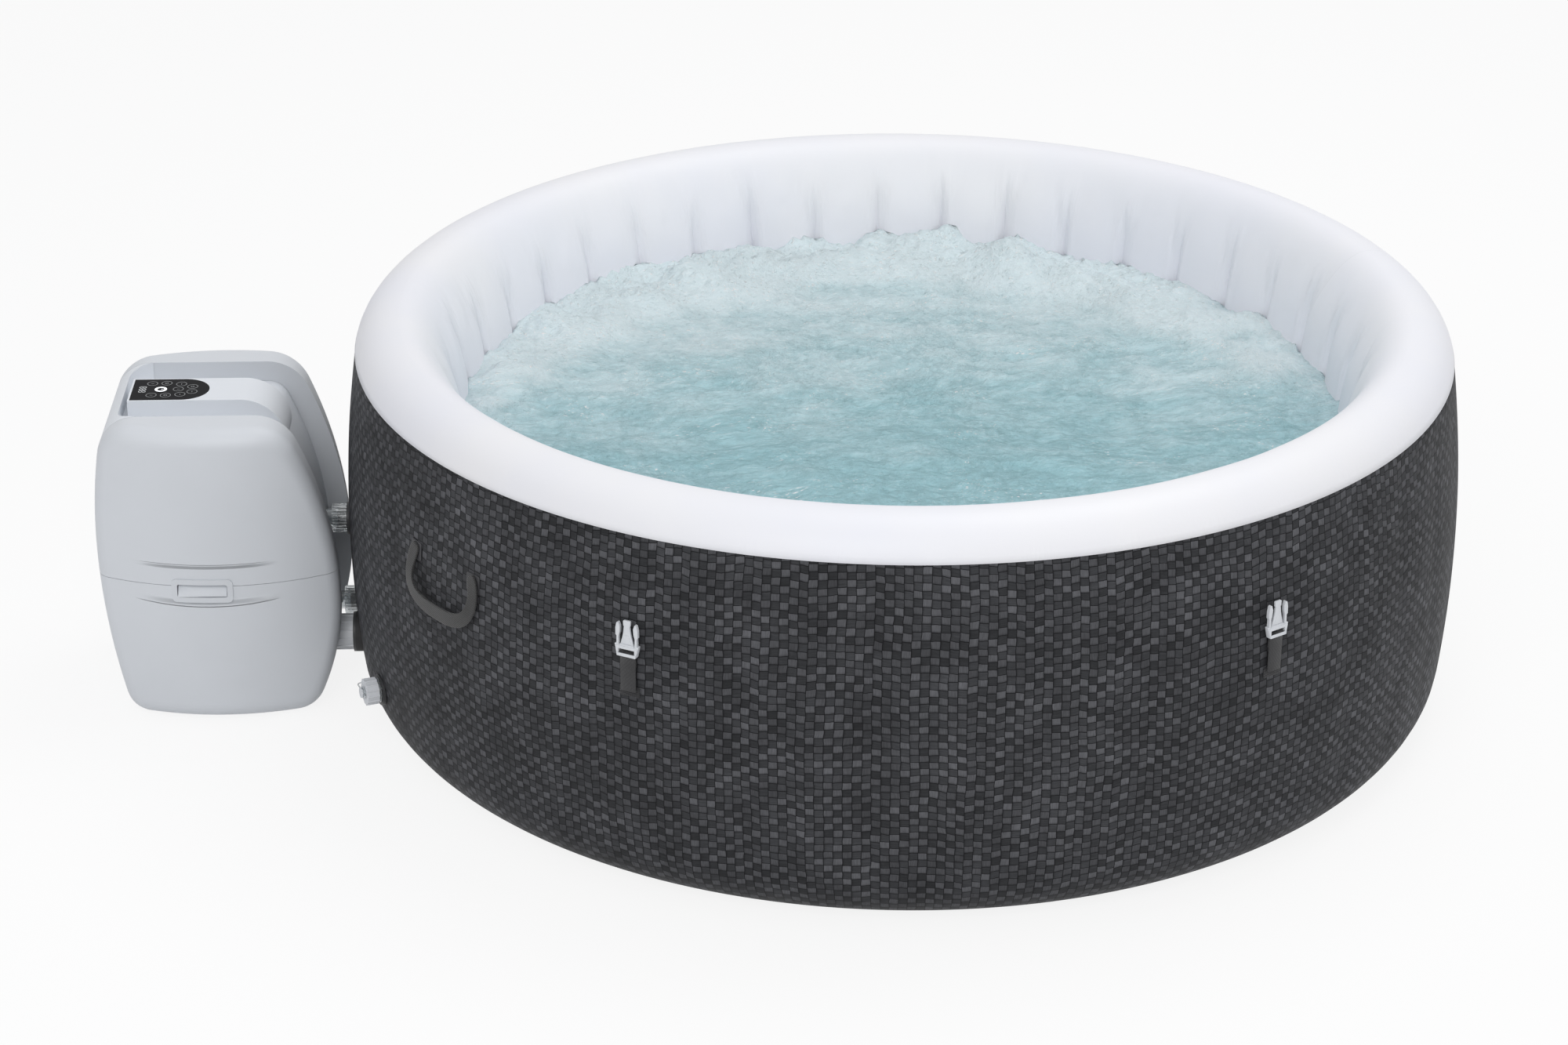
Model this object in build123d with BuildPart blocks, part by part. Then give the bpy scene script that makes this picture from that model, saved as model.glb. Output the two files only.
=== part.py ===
from build123d import *
import math
import os

# ---------------------------------------------------------------------------
# Inflatable hot tub with a coupled heater-blower unit, in millimetres.
# The origin is the middle of the tub's base on the ground, +Z up. The pump
# unit stands on the -X side. An azimuth is counted about +Z from -Y.
# ---------------------------------------------------------------------------

# Tub envelope
outer_radius = 900.0
wall_depth = 188.0
side_bulge = 23.0
base_inset = 110.0
rim_crest_inset = 92.0
tub_height = 652.0
bulge_height = 300.0
seam_height = 596.0
foot_height = 95.0
lip_height = 420.0
sheet = 2.0
fit_gap = 0.3
seat_gap = 0.2
bore_reach = 40.0

# Air chamber and inside
beam_count = 40
beam_sheet = 1.2
beam_foot_height = 40.0
beam_hole_radius = 22.0
pleat_depth = 8.0
floor_pad = 6.0
bubble_channel_radius = 18.0
bubble_channel_wall = 2.0
bubble_hole_radius = 1.6
bubble_hole_count = 40

# Water and air ports, as (y, z) on the -X side, with pipe and nut radii
upper_port_height = 280.0
lower_port_height = 102.0
lower_port_offset = 60.0
water_pipe_radius = 15.0
air_pipe_radius = 21.0
pipe_wall = 3.0
collar_lip = 4.0
collar_thickness = 4.0
water_spigot_length = 14.0
air_spigot_length = 20.0
nut_wall = 4.5
nut_cap = 5.0
nut_ribs = 12
nut_rib_depth = 1.6
flange_lip = 8.0
flange_thickness = 4.0
gasket_thickness = 2.5
screen_tall = 9.0
screen_hole = 2.2

# Filter
filter_radius = 54.0
filter_length = 80.0
filter_wall = 2.5
filter_slots = 16
filter_slot_width = 7.0
cartridge_core_radius = 22.0
cartridge_pleats = 24
filter_cap_thickness = 8.0

# Drain and air valves
drain_azimuth = -70.0
drain_height = 120.0
drain_radius = 17.0
drain_bore_radius = 12.0
drain_neck = 20.0
cap_ribs = 14
cap_rib_depth = 1.4
cap_wall = 3.2
tether_rod = 1.0
tether_tab = 2.6
air_valve_azimuth = -125.0
air_valve_height = 470.0
air_valve_radius = 24.0
air_valve_neck = 9.0

# Cover straps and buckles
strap_count = 5
strap_first_azimuth = -29.2
strap_pitch = 62.7
strap_width = 25.0
strap_thickness = 1.8
strap_stand_off = 5.0
strap_turn_back = 22.0
anchor_height = 350.0
anchor_tall = 16.0
anchor_sheet = 1.6
strap_rise = 56.0
buckle_width = 39.0
buckle_height = 56.0
buckle_thickness = 7.0
buckle_base = 18.0
buckle_bar_radius = 1.7
buckle_slot_tall = 8.0

# Carry handles
handle_azimuths = (-53.3, 126.7)
handle_half_span = 76.0
handle_height = 442.0
handle_drop = 74.0
handle_band = 25.0
handle_thickness = 3.5
handle_patch_width = 30.0
handle_patch_tall = 30.0

# Pump unit casing
pump_gap = 12.0
pump_width = 386.0
pump_height = 512.0
pump_foot_height = 6.0
pump_half_depth = 188.0
pump_edge_depth = 138.0
pump_edge_round = 30.0
# Each side of the casing: end of its flat top, shoulder as (x, drop), waist, hip and flat foot
tub_side_top = 69.0
tub_side_shoulder = (134.0, 42.0)
tub_side_waist = 194.0
tub_side_hip = (158.0, 34.0)
tub_side_foot = 114.0
far_side_top = 117.0
far_side_shoulder = (179.0, 52.0)
far_side_waist = 300.0
far_side_hip = (160.0, 38.0)
far_side_foot = 118.0
casing_wall = 3.0
casing_split = 248.0
seam_gap = 0.8
channel_half_width = 112.0
channel_depth = 34.0
channel_start = 150.0
channel_end_round = 40.0
bridge_half_width = 46.0
bridge_drop = 1.0
bridge_start = 139.0
bridge_bend_start = 40.0
bridge_end = 112.0
bridge_end_drop = 66.0
panel_length = 124.0
panel_border = 3.0
panel_thickness = 1.8
panel_pocket = 1.5
board_thickness = 1.6
grip_offset = -21.0
grip_width = 80.0
grip_tall = 22.0
grip_border = 9.0
grip_depth = 20.0
grip_lower = 8.0
grip_wall = 2.0
foot_pad_radius = 14.0
foot_spread = 70.0
foot_spread_deep = 95.0

# Pump unit inside
frame_sheet = 4.0
frame_post_radius = 7.0
frame_post_span = 100.0
frame_post_shift = 17.0
frame_half_depth = 119.0
frame_height = 322.0
pipe_reach = 124.0
line_radius = 14.0
line_bend = 24.0
volute_place = 56.0
volute_radius = 44.0
volute_length = 34.0
volute_wall = 3.0
motor_radius = 36.0
motor_length = 95.0
shaft_radius = 4.0
shaft_length = 45.0
impeller_radius = 36.0
impeller_vanes = 6
running_gap = 0.05
heater_radius = 26.0
heater_wall = 2.0
heater_foot = 168.0
heater_length = 134.0
blower_radius = 78.0
blower_tall = 60.0
blower_wall = 2.5
blower_motor_radius = 42.0
blower_motor_tall = 58.0
blower_offset = -52.0
blower_nozzle_end = 50.0
fan_radius = 66.0
fan_blades = 12
air_leg_offset = 92.0
valve_body_radius = 28.0
valve_body_tall = 46.0
valve_body_foot = 190.0
flap_radius = 18.0
flap_sheet = 2.0
gland_radius = 11.0
gland_bore = 4.0
gland_length = 26.0
gland_height = 70.0
gland_offset = -60.0

# ---------------------------------------------------------------------------
# Values worked out from the sizes above
# ---------------------------------------------------------------------------
seam_radius = outer_radius - side_bulge
base_radius = outer_radius - base_inset
rim_crest_radius = outer_radius - rim_crest_inset
inner_radius = outer_radius - wall_depth
side_rise = seam_height - bulge_height
buckle_bar_height = anchor_height + anchor_tall + strap_rise
side_curve = (side_rise**2 + side_bulge**2) / (2 * side_bulge)


def wall_radius(height):
    """Radius of the tub's outer face at a height on its side."""
    rise = height - bulge_height
    return outer_radius - side_curve + math.sqrt(side_curve**2 - rise**2)


foot_radius = wall_radius(foot_height)
crease_radius = inner_radius + pleat_depth
pump_x = -(outer_radius + pump_gap + pump_width / 2)
half_width = pump_width / 2
floor_top = sheet + floor_pad
# Each port: y, z, the pipe's radius and the length of the threaded spigot
ports = (
    (0.0, upper_port_height, water_pipe_radius, water_spigot_length),
    (lower_port_offset, lower_port_height, water_pipe_radius, water_spigot_length),
    (-lower_port_offset, lower_port_height, air_pipe_radius, air_spigot_length),
)
strap_azimuths = [strap_first_azimuth + strap_pitch * n for n in range(strap_count)]


def flange_face(port):
    """Distance from the axis to the outer face of a port's gasket."""
    reach = min(port[1] + port[2] + collar_lip + flange_lip, bulge_height)
    return wall_radius(max(reach, port[1])) + gasket_thickness


def spigot_end(port):
    return flange_face(port) + flange_thickness + port[3]


def spigot_radius(port):
    return port[2] + collar_lip


def nut_radius(port):
    return spigot_radius(port) + fit_gap + nut_wall


def along_port(port, distance):
    """Plane across a port's axis at a distance from the tub's axis, facing away from the tub."""
    return Plane(origin=(-distance, port[0], port[1]), x_dir=(0, 1, 0), z_dir=(-1, 0, 0))


def facing(azimuth, distance, height):
    """Plane across a radius of the tub, facing outward, with its x along the wall."""
    turn = math.radians(azimuth)
    out = Vector(math.sin(turn), -math.cos(turn), 0)
    return Plane(
        origin=(distance * out.X, distance * out.Y, height),
        x_dir=(math.cos(turn), math.sin(turn), 0),
        z_dir=(out.X, out.Y, 0),
    )


def save(piece, label):
    piece.part.label = label
    export_step(piece.part, f"parts/{label}.step")
    print(label, len(piece.part.solids()), round(piece.part.volume))


os.makedirs("parts", exist_ok=True)


# ---------------------------------------------------------------------------
# Forms that other pieces are cut from or seated on
# ---------------------------------------------------------------------------
def side_shell(inset, outset):
    """Solid of revolution between two offsets from the tub's outer face."""
    with BuildPart() as shell:
        with BuildSketch(Plane.XZ):
            with BuildLine():
                low = foot_height
                mid = bulge_height
                high = seam_height
                inner = ThreePointArc(
                    (wall_radius(low) + inset, low),
                    (wall_radius(mid) + inset, mid),
                    (wall_radius(high) + inset, high),
                )
                outer = ThreePointArc(
                    (wall_radius(low) + outset, low),
                    (wall_radius(mid) + outset, mid),
                    (wall_radius(high) + outset, high),
                )
                Line(inner @ 0, outer @ 0)
                Line(inner @ 1, outer @ 1)
            make_face()
        revolve(axis=Axis.Z)
    return shell.part


with BuildPart() as wall_form:
    with BuildSketch(Plane.XZ):
        with BuildLine():
            face = ThreePointArc(
                (foot_radius + seat_gap, foot_height),
                (outer_radius + seat_gap, bulge_height),
                (seam_radius + seat_gap, seam_height),
            )
            foot = TangentArc(face @ 0, (base_radius + seat_gap, 0), tangent=(face % 0) * -1)
            Polyline(foot @ 1, (inner_radius, 0), (inner_radius, seam_height), face @ 1)
        make_face()
    revolve(axis=Axis.Z)


def port_bores(extra, start, end):
    """Cylinders along the three ports, between two distances from the tub's axis."""
    with BuildPart() as bores:
        for port in ports:
            with BuildSketch(along_port(port, start)):
                Circle(spigot_radius(port) + extra)
            extrude(amount=end - start)
    return bores.part


with BuildPart() as drain_bore_form:
    with BuildSketch(facing(drain_azimuth, inner_radius - bore_reach, drain_height)):
        Circle(drain_radius + fit_gap)
    extrude(amount=wall_depth + 2 * bore_reach)

with BuildPart() as air_valve_bore_form:
    with BuildSketch(facing(air_valve_azimuth, seam_radius - bore_reach, air_valve_height)):
        Circle(air_valve_radius + fit_gap)
    extrude(amount=side_bulge + 2 * bore_reach)

port_bore_form = port_bores(fit_gap, inner_radius - bore_reach, outer_radius + bore_reach)

# ---------------------------------------------------------------------------
# Tub
# ---------------------------------------------------------------------------
with BuildPart() as outer_wall:
    with BuildSketch(Plane.XZ):
        with BuildLine():
            side = ThreePointArc(
                (foot_radius - sheet / 2, foot_height),
                (outer_radius - sheet / 2, bulge_height),
                (seam_radius - sheet / 2, seam_height),
            )
            TangentArc(side @ 0, (base_radius, sheet / 2), tangent=(side % 0) * -1)
        trace(line_width=sheet)
    revolve(axis=Axis.Z)
    add(port_bore_form, mode=Mode.SUBTRACT)
    add(drain_bore_form.part, mode=Mode.SUBTRACT)
    add(air_valve_bore_form.part, mode=Mode.SUBTRACT)
save(outer_wall, "outer_wall")

with BuildPart() as top_ring:
    with BuildSketch(Plane.XZ):
        with BuildLine():
            crest = (rim_crest_radius, tub_height - sheet / 2)
            TangentArc(crest, (seam_radius - sheet / 2, seam_height + fit_gap), tangent=(1, 0))
            EllipticalCenterArc(
                (rim_crest_radius, lip_height),
                rim_crest_radius - inner_radius,
                tub_height - sheet / 2 - lip_height,
                start_angle=90,
                arc_size=90,
            )
        trace(line_width=sheet)
    revolve(axis=Axis.Z)
save(top_ring, "top_ring")


def pleated_outline(crease, bulge):
    """Closed line of shallow arcs that bulge inward between the beams."""
    step = 360 / beam_count
    for n in range(beam_count):
        a, b, c = (math.radians(step * (n + share)) for share in (0, 0.5, 1))
        ThreePointArc(
            (crease * math.cos(a), crease * math.sin(a)),
            (bulge * math.cos(b), bulge * math.sin(b)),
            (crease * math.cos(c), crease * math.sin(c)),
        )


with BuildPart() as inner_wall:
    with BuildSketch(Plane.XY.offset(sheet)):
        with BuildLine():
            pleated_outline(crease_radius, inner_radius)
        make_face()
        with BuildLine():
            pleated_outline(crease_radius - sheet, inner_radius - sheet)
        make_face(mode=Mode.SUBTRACT)
    extrude(amount=lip_height - sheet)
    add(port_bore_form, mode=Mode.SUBTRACT)
    add(drain_bore_form.part, mode=Mode.SUBTRACT)
save(inner_wall, "inner_wall")

with BuildPart() as base_sheet:
    with BuildSketch():
        Circle(base_radius - fit_gap)
    extrude(amount=sheet)
save(base_sheet, "base_sheet")

with BuildPart() as floor_liner:
    with BuildSketch(Plane.XY.offset(sheet)):
        Circle(inner_radius - sheet - fit_gap)
    extrude(amount=floor_pad)
save(floor_liner, "floor_liner")

with BuildPart() as one_beam:
    with BuildSketch(Plane.XZ.offset(-beam_sheet / 2)):
        with BuildLine():
            clear = sheet + seat_gap
            edge = ThreePointArc(
                (foot_radius - clear, foot_height),
                (outer_radius - clear, bulge_height),
                (wall_radius(lip_height) - clear, lip_height),
            )
            Polyline(edge @ 1, (crease_radius, lip_height), (crease_radius, beam_foot_height), edge @ 0)
        make_face()
        with Locations(
            ((crease_radius + foot_radius) / 2, lip_height * 0.42),
            ((crease_radius + foot_radius) / 2, lip_height * 0.8),
        ):
            Circle(beam_hole_radius, mode=Mode.SUBTRACT)
    extrude(amount=beam_sheet)

# The place on the -X side is left free for the port tubes
with BuildPart() as chamber_beams:
    step = 360 / beam_count
    with PolarLocations(0, beam_count - 1, 180 + step, 360 - 2 * step, endpoint=True):
        add(one_beam.part)
    add(port_bores(fit_gap + 1, inner_radius, outer_radius), mode=Mode.SUBTRACT)
    add(drain_bore_form.part, mode=Mode.SUBTRACT)
save(chamber_beams, "chamber_beams")


def channel_profile(half, mode):
    """Cross-section of the bubble channel, in the sketch being made."""
    Trapezoid(2 * half, half, 60, align=(Align.CENTER, Align.MIN), mode=mode)


bubble_ring_radius = inner_radius - sheet - bubble_channel_radius - 4
with BuildPart() as bubble_ring:
    with BuildSketch(Plane.XZ):
        with Locations((bubble_ring_radius, floor_top)):
            channel_profile(bubble_channel_radius, Mode.ADD)
            channel_profile(bubble_channel_radius - bubble_channel_wall, Mode.SUBTRACT)
    revolve(axis=Axis.Z)
    with BuildSketch(Plane.XY.offset(floor_top)):
        with PolarLocations(bubble_ring_radius, bubble_hole_count, 180 / bubble_hole_count):
            Circle(bubble_hole_radius)
    extrude(amount=2 * bubble_channel_radius, mode=Mode.SUBTRACT)
save(bubble_ring, "bubble_ring")

# Through-wall fittings: spigot, outer flange, tube across the chamber and inner flange
inner_face = inner_radius - sheet
with BuildPart() as wall_fittings:
    for port in ports:
        face = flange_face(port)
        with BuildSketch(along_port(port, inner_face - flange_thickness)):
            Circle(spigot_radius(port))
        extrude(amount=spigot_end(port) - inner_face + flange_thickness)
        with BuildSketch(along_port(port, face)):
            Circle(spigot_radius(port) + flange_lip)
        extrude(amount=flange_thickness)
        with BuildSketch(along_port(port, inner_face - 2 * flange_thickness)):
            Circle(spigot_radius(port) + flange_lip)
        extrude(amount=flange_thickness)
    for port in ports:
        with BuildSketch(along_port(port, inner_face - 40)):
            Circle(port[2] - pipe_wall)
        extrude(amount=outer_radius, mode=Mode.SUBTRACT)
save(wall_fittings, "wall_fittings")

with BuildPart() as fitting_gaskets:
    for port in ports:
        with BuildSketch(along_port(port, outer_radius - 40)):
            Circle(spigot_radius(port) + flange_lip)
            Circle(spigot_radius(port) + fit_gap, mode=Mode.SUBTRACT)
        extrude(amount=flange_face(port) - outer_radius + 40)
    add(wall_form.part, mode=Mode.SUBTRACT)
save(fitting_gaskets, "fitting_gaskets")

# Screens over the two open water and air mouths inside the tub
with BuildPart() as inner_screens:
    for port in (ports[0], ports[2]):
        mouth = inner_face - 2 * flange_thickness
        rim = spigot_radius(port) + flange_lip
        with BuildSketch(along_port(port, mouth - screen_tall)):
            Circle(rim)
        extrude(amount=screen_tall)
        with BuildSketch(along_port(port, mouth - screen_tall + 2)):
            Circle(rim - 2)
        extrude(amount=screen_tall, mode=Mode.SUBTRACT)
        with BuildSketch(along_port(port, mouth - screen_tall - 1)):
            for ring_radius, holes in ((rim * 0.3, 6), (rim * 0.6, 12)):
                with PolarLocations(ring_radius, holes):
                    Circle(screen_hole)
        extrude(amount=6, mode=Mode.SUBTRACT)
save(inner_screens, "inner_screens")

# Filter on the water intake
intake = ports[1]
filter_back = inner_face - 2 * flange_thickness
with BuildPart() as filter_housing:
    with BuildSketch(along_port(intake, filter_back - 12)):
        Circle(spigot_radius(intake) + flange_lip)
        Circle(intake[2] - pipe_wall, mode=Mode.SUBTRACT)
    extrude(amount=12)
    with BuildSketch(along_port(intake, filter_back - 12 - filter_length)):
        Circle(filter_radius)
    extrude(amount=filter_length)
    with BuildSketch(along_port(intake, filter_back - 12 - filter_length)):
        Circle(filter_radius - filter_wall)
    extrude(amount=filter_length - filter_wall, mode=Mode.SUBTRACT)
    with BuildSketch(along_port(intake, filter_back - 13 - filter_wall)):
        Circle(intake[2] - pipe_wall)
    extrude(amount=14, mode=Mode.SUBTRACT)
    with BuildSketch(along_port(intake, filter_back - 2 - filter_length)):
        with PolarLocations(filter_radius, filter_slots):
            Rectangle(4 * filter_wall, filter_slot_width)
    extrude(amount=filter_length - 20, mode=Mode.SUBTRACT)
save(filter_housing, "filter_housing")

cartridge_length = filter_length - filter_wall - fit_gap
with BuildPart() as filter_cartridge:
    with BuildSketch(along_port(intake, filter_back - 12 - filter_length)):
        with BuildLine():
            outer = filter_radius - filter_wall - 1
            points = []
            for n in range(2 * cartridge_pleats):
                reach = outer if n % 2 == 0 else outer * 0.78
                turn = math.pi * n / cartridge_pleats
                points.append((reach * math.cos(turn), reach * math.sin(turn)))
            Polyline(*points, close=True)
        make_face()
        Circle(cartridge_core_radius, mode=Mode.SUBTRACT)
    extrude(amount=cartridge_length)
save(filter_cartridge, "filter_cartridge")

with BuildPart() as filter_cap:
    mouth = filter_back - 12 - filter_length
    with BuildSketch(along_port(intake, mouth - fit_gap - filter_cap_thickness)):
        Circle(filter_radius)
    extrude(amount=filter_cap_thickness)
    fillet(filter_cap.edges().filter_by(GeomType.CIRCLE).sort_by(Axis.X)[-1], 2)
    with BuildSketch(along_port(intake, mouth - fit_gap - filter_cap_thickness - 9)):
        Rectangle(1.5 * filter_radius, 9)
    extrude(amount=10)
save(filter_cap, "filter_cap")

# Elbow from the air fitting down to the bubble ring
air_port = ports[2]
feed_x = -(inner_face - 2 * flange_thickness - screen_tall - 13)
with BuildPart() as bubble_feed:
    with BuildSketch(Plane(origin=(feed_x, air_port[0], floor_top))):
        Circle(12)
    extrude(amount=air_port[1] + 14 - floor_top)
    with BuildSketch(Plane(origin=(feed_x, air_port[0], floor_top + 12))):
        Circle(9.5)
    extrude(amount=air_port[1] - floor_top, mode=Mode.SUBTRACT)
    with BuildSketch(Plane.XZ):
        with Locations((bubble_ring_radius, floor_top)):
            channel_profile(bubble_channel_radius + 2 * fit_gap, Mode.ADD)
    revolve(axis=Axis.Z, mode=Mode.SUBTRACT)
save(bubble_feed, "bubble_feed")


# ---------------------------------------------------------------------------
# Drain valve, with a ribbed cap held by a tether
# ---------------------------------------------------------------------------
def ribbed_disc(radius, ribs, rib_depth):
    """Circle with evenly spaced round ribs, in the sketch being made."""
    Circle(radius)
    with PolarLocations(radius, ribs):
        Circle(rib_depth)


drain_face = wall_radius(drain_height + drain_radius + flange_lip) + gasket_thickness
with BuildPart() as drain_valve:
    with BuildSketch(facing(drain_azimuth, inner_face - flange_thickness, drain_height)):
        Circle(drain_radius)
    extrude(amount=drain_face + drain_neck - inner_face + flange_thickness)
    with BuildSketch(facing(drain_azimuth, drain_face - gasket_thickness - 2, drain_height)):
        Circle(drain_radius + flange_lip)
    extrude(amount=gasket_thickness + 2)
    with BuildSketch(facing(drain_azimuth, inner_face - 2 * flange_thickness, drain_height)):
        Circle(drain_radius + flange_lip)
    extrude(amount=flange_thickness)
    with BuildSketch(facing(drain_azimuth, inner_face - 40, drain_height)):
        Circle(drain_bore_radius)
    extrude(amount=outer_radius, mode=Mode.SUBTRACT)
    add(side_shell(-12.0, seat_gap), mode=Mode.SUBTRACT)
    with BuildSketch(facing(drain_azimuth, inner_face - flange_thickness, drain_height)):
        Circle(drain_radius)
        Circle(drain_bore_radius, mode=Mode.SUBTRACT)
    extrude(amount=drain_face + drain_neck - inner_face + flange_thickness)
save(drain_valve, "drain_valve")

cap_radius = drain_radius + fit_gap + cap_wall
cap_start = drain_face + 4.5
cap_depth = drain_neck - 4.5 + fit_gap + cap_wall
with BuildPart() as drain_cap:
    with BuildSketch(facing(drain_azimuth, cap_start, drain_height)):
        ribbed_disc(cap_radius, cap_ribs, cap_rib_depth)
    extrude(amount=cap_depth)
    with BuildSketch(facing(drain_azimuth, cap_start + cap_depth, drain_height)):
        Circle(6)
    extrude(amount=5)
    with BuildSketch(facing(drain_azimuth, cap_start + cap_depth + 5, drain_height)):
        Circle(8)
    extrude(amount=2)
    with BuildSketch(facing(drain_azimuth, cap_start, drain_height)):
        Circle(drain_radius + fit_gap)
    extrude(amount=drain_neck - 4.5 + fit_gap, mode=Mode.SUBTRACT)
save(drain_cap, "drain_cap")

tether_in = drain_face + 2.2
tether_out = cap_start + cap_depth + 2.5
tether_reach = cap_radius + 14
with BuildPart() as cap_tether:
    with BuildSketch(facing(drain_azimuth, tether_in - tether_tab / 2, drain_height)):
        Circle(drain_radius + 3)
        Circle(drain_radius + fit_gap, mode=Mode.SUBTRACT)
    extrude(amount=tether_tab)
    with BuildSketch(facing(drain_azimuth, tether_out - tether_tab / 2, drain_height)):
        Circle(9.5)
        Circle(6 + fit_gap, mode=Mode.SUBTRACT)
    extrude(amount=tether_tab)
    plan = facing(drain_azimuth, 0, drain_height)
    with BuildLine() as tether_line:
        FilletPolyline(
            plan.from_local_coords((-drain_radius - 2, 0, tether_in)),
            plan.from_local_coords((-tether_reach, 0, tether_in)),
            plan.from_local_coords((-tether_reach, 0, tether_out)),
            plan.from_local_coords((-7.6, 0, tether_out)),
            radius=7,
        )
    with BuildSketch(Plane(origin=tether_line.line @ 0, z_dir=tether_line.line % 0)):
        Circle(tether_rod)
    sweep(path=tether_line.line)
save(cap_tether, "cap_tether")

# Air valve of the chamber, on the side away from the front
valve_face = wall_radius(air_valve_height) + gasket_thickness
with BuildPart() as air_valve:
    with BuildSketch(facing(air_valve_azimuth, valve_face - 22, air_valve_height)):
        Circle(air_valve_radius)
    extrude(amount=22 + air_valve_neck)
    with BuildSketch(facing(air_valve_azimuth, valve_face - gasket_thickness - 3, air_valve_height)):
        Circle(air_valve_radius + flange_lip)
        Circle(air_valve_radius, mode=Mode.SUBTRACT)
    extrude(amount=gasket_thickness + 3)
    add(side_shell(-12.0, seat_gap), mode=Mode.SUBTRACT)
    with BuildSketch(facing(air_valve_azimuth, valve_face - 22, air_valve_height)):
        Circle(air_valve_radius)
    extrude(amount=22 + air_valve_neck)
    with BuildSketch(facing(air_valve_azimuth, valve_face - 23, air_valve_height)):
        Circle(air_valve_radius - 4)
    extrude(amount=60, mode=Mode.SUBTRACT)
save(air_valve, "air_valve")

valve_cap_radius = air_valve_radius + fit_gap + cap_wall
with BuildPart() as air_valve_cap:
    with BuildSketch(facing(air_valve_azimuth, valve_face + 0.5, air_valve_height)):
        ribbed_disc(valve_cap_radius, 2 * cap_ribs, cap_rib_depth)
    extrude(amount=air_valve_neck + cap_wall)
    with BuildSketch(facing(air_valve_azimuth, valve_face + 0.5, air_valve_height)):
        Circle(air_valve_radius + fit_gap)
    extrude(amount=air_valve_neck - 0.5 + fit_gap, mode=Mode.SUBTRACT)
save(air_valve_cap, "air_valve_cap")

# ---------------------------------------------------------------------------
# Welded patches, cover straps with buckles, and carry handles
# ---------------------------------------------------------------------------
patch_band = side_shell(seat_gap, anchor_sheet)
with BuildPart() as webbing_patches:
    for azimuth in strap_azimuths:
        with BuildSketch(facing(azimuth, outer_radius - 60, anchor_height + anchor_tall / 2)):
            RectangleRounded(strap_width + 8, anchor_tall, 2)
        extrude(amount=100)
    for azimuth in handle_azimuths:
        turn = math.degrees(handle_half_span / outer_radius)
        for side in (-turn, turn):
            with BuildSketch(facing(azimuth + side, outer_radius - 60, handle_height)):
                RectangleRounded(handle_patch_width, handle_patch_tall, 6)
            extrude(amount=100)
    add(patch_band, mode=Mode.INTERSECT)
save(webbing_patches, "webbing_patches")

strap_foot = anchor_height + anchor_tall - 6
strap_radius = wall_radius(strap_foot) + strap_stand_off
bar_height = buckle_bar_height - buckle_bar_radius
loop_inner = buckle_bar_radius + fit_gap + 0.1


def beside(azimuth, shift):
    """Upright plane along a radius of the tub, moved along the wall, x outward and y up."""
    turn = math.radians(azimuth)
    along = Vector(math.cos(turn), math.sin(turn), 0)
    return Plane(
        origin=(shift * along.X, shift * along.Y, 0),
        x_dir=(math.sin(turn), -math.cos(turn), 0),
        z_dir=(-along.X, -along.Y, 0),
    )


def build_strap(azimuth):
    """Webbing from its patch up and round the buckle's bar, with the turned-back end."""
    with BuildPart() as strap:
        with BuildSketch(beside(azimuth, strap_width / 2)):
            with Locations((strap_radius, (strap_foot + bar_height) / 2)):
                Rectangle(strap_thickness, bar_height - strap_foot)
            with Locations((strap_radius - strap_thickness, bar_height - strap_turn_back / 2)):
                Rectangle(strap_thickness, strap_turn_back)
            with Locations((strap_radius, bar_height)):
                Circle(loop_inner + strap_thickness)
                Circle(loop_inner, mode=Mode.SUBTRACT)
            with Locations((strap_radius - strap_stand_off / 2 + (anchor_sheet + fit_gap) / 2, strap_foot + 3)):
                Rectangle(strap_stand_off - anchor_sheet - fit_gap, 6)
        extrude(amount=strap_width)
    return strap


def build_buckle(azimuth):
    """Male half of a side-release buckle: slotted base, middle tongue and two sprung prongs."""
    low = bar_height - 3
    high = low + buckle_height
    shoulder = low + buckle_base
    half = buckle_width / 2
    with BuildPart() as buckle:
        with BuildSketch(facing(azimuth, strap_radius - buckle_thickness / 2, 0)):
            with BuildLine():
                Polyline(
                    (-half + 3, low), (half - 3, low), (half, shoulder), (half - 4, shoulder + 2),
                    (half - 4, high - 18), (half - 2, high - 17), (half - 8, high - 4),
                    (half - 9, high - 16), (half - 8, shoulder + 5), (9, shoulder + 3),
                    (4.5, high - 9), (5.5, high - 6), (5, high), (-5, high), (-5.5, high - 6),
                    (-4.5, high - 9), (-9, shoulder + 3), (-half + 8, shoulder + 5),
                    (-half + 9, high - 16), (-half + 8, high - 4), (-half + 2, high - 17),
                    (-half + 4, high - 18), (-half + 4, shoulder + 2), (-half, shoulder),
                    close=True,
                )
            make_face()
            with Locations((0, bar_height)):
                Rectangle(strap_width + 1, 2 * buckle_slot_tall, mode=Mode.SUBTRACT)
        extrude(amount=buckle_thickness)
        with BuildSketch(beside(azimuth, half - 4)):
            with Locations((strap_radius, bar_height)):
                Circle(buckle_bar_radius)
        extrude(amount=buckle_width - 8)
    return buckle


for number, azimuth in enumerate(strap_azimuths, start=1):
    save(build_strap(azimuth), f"cover_strap_{number}")
    save(build_buckle(azimuth), f"strap_buckle_{number}")

handle_inner = anchor_sheet + 0.9
handle_curve = side_shell(handle_inner, handle_inner + handle_thickness)


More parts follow.
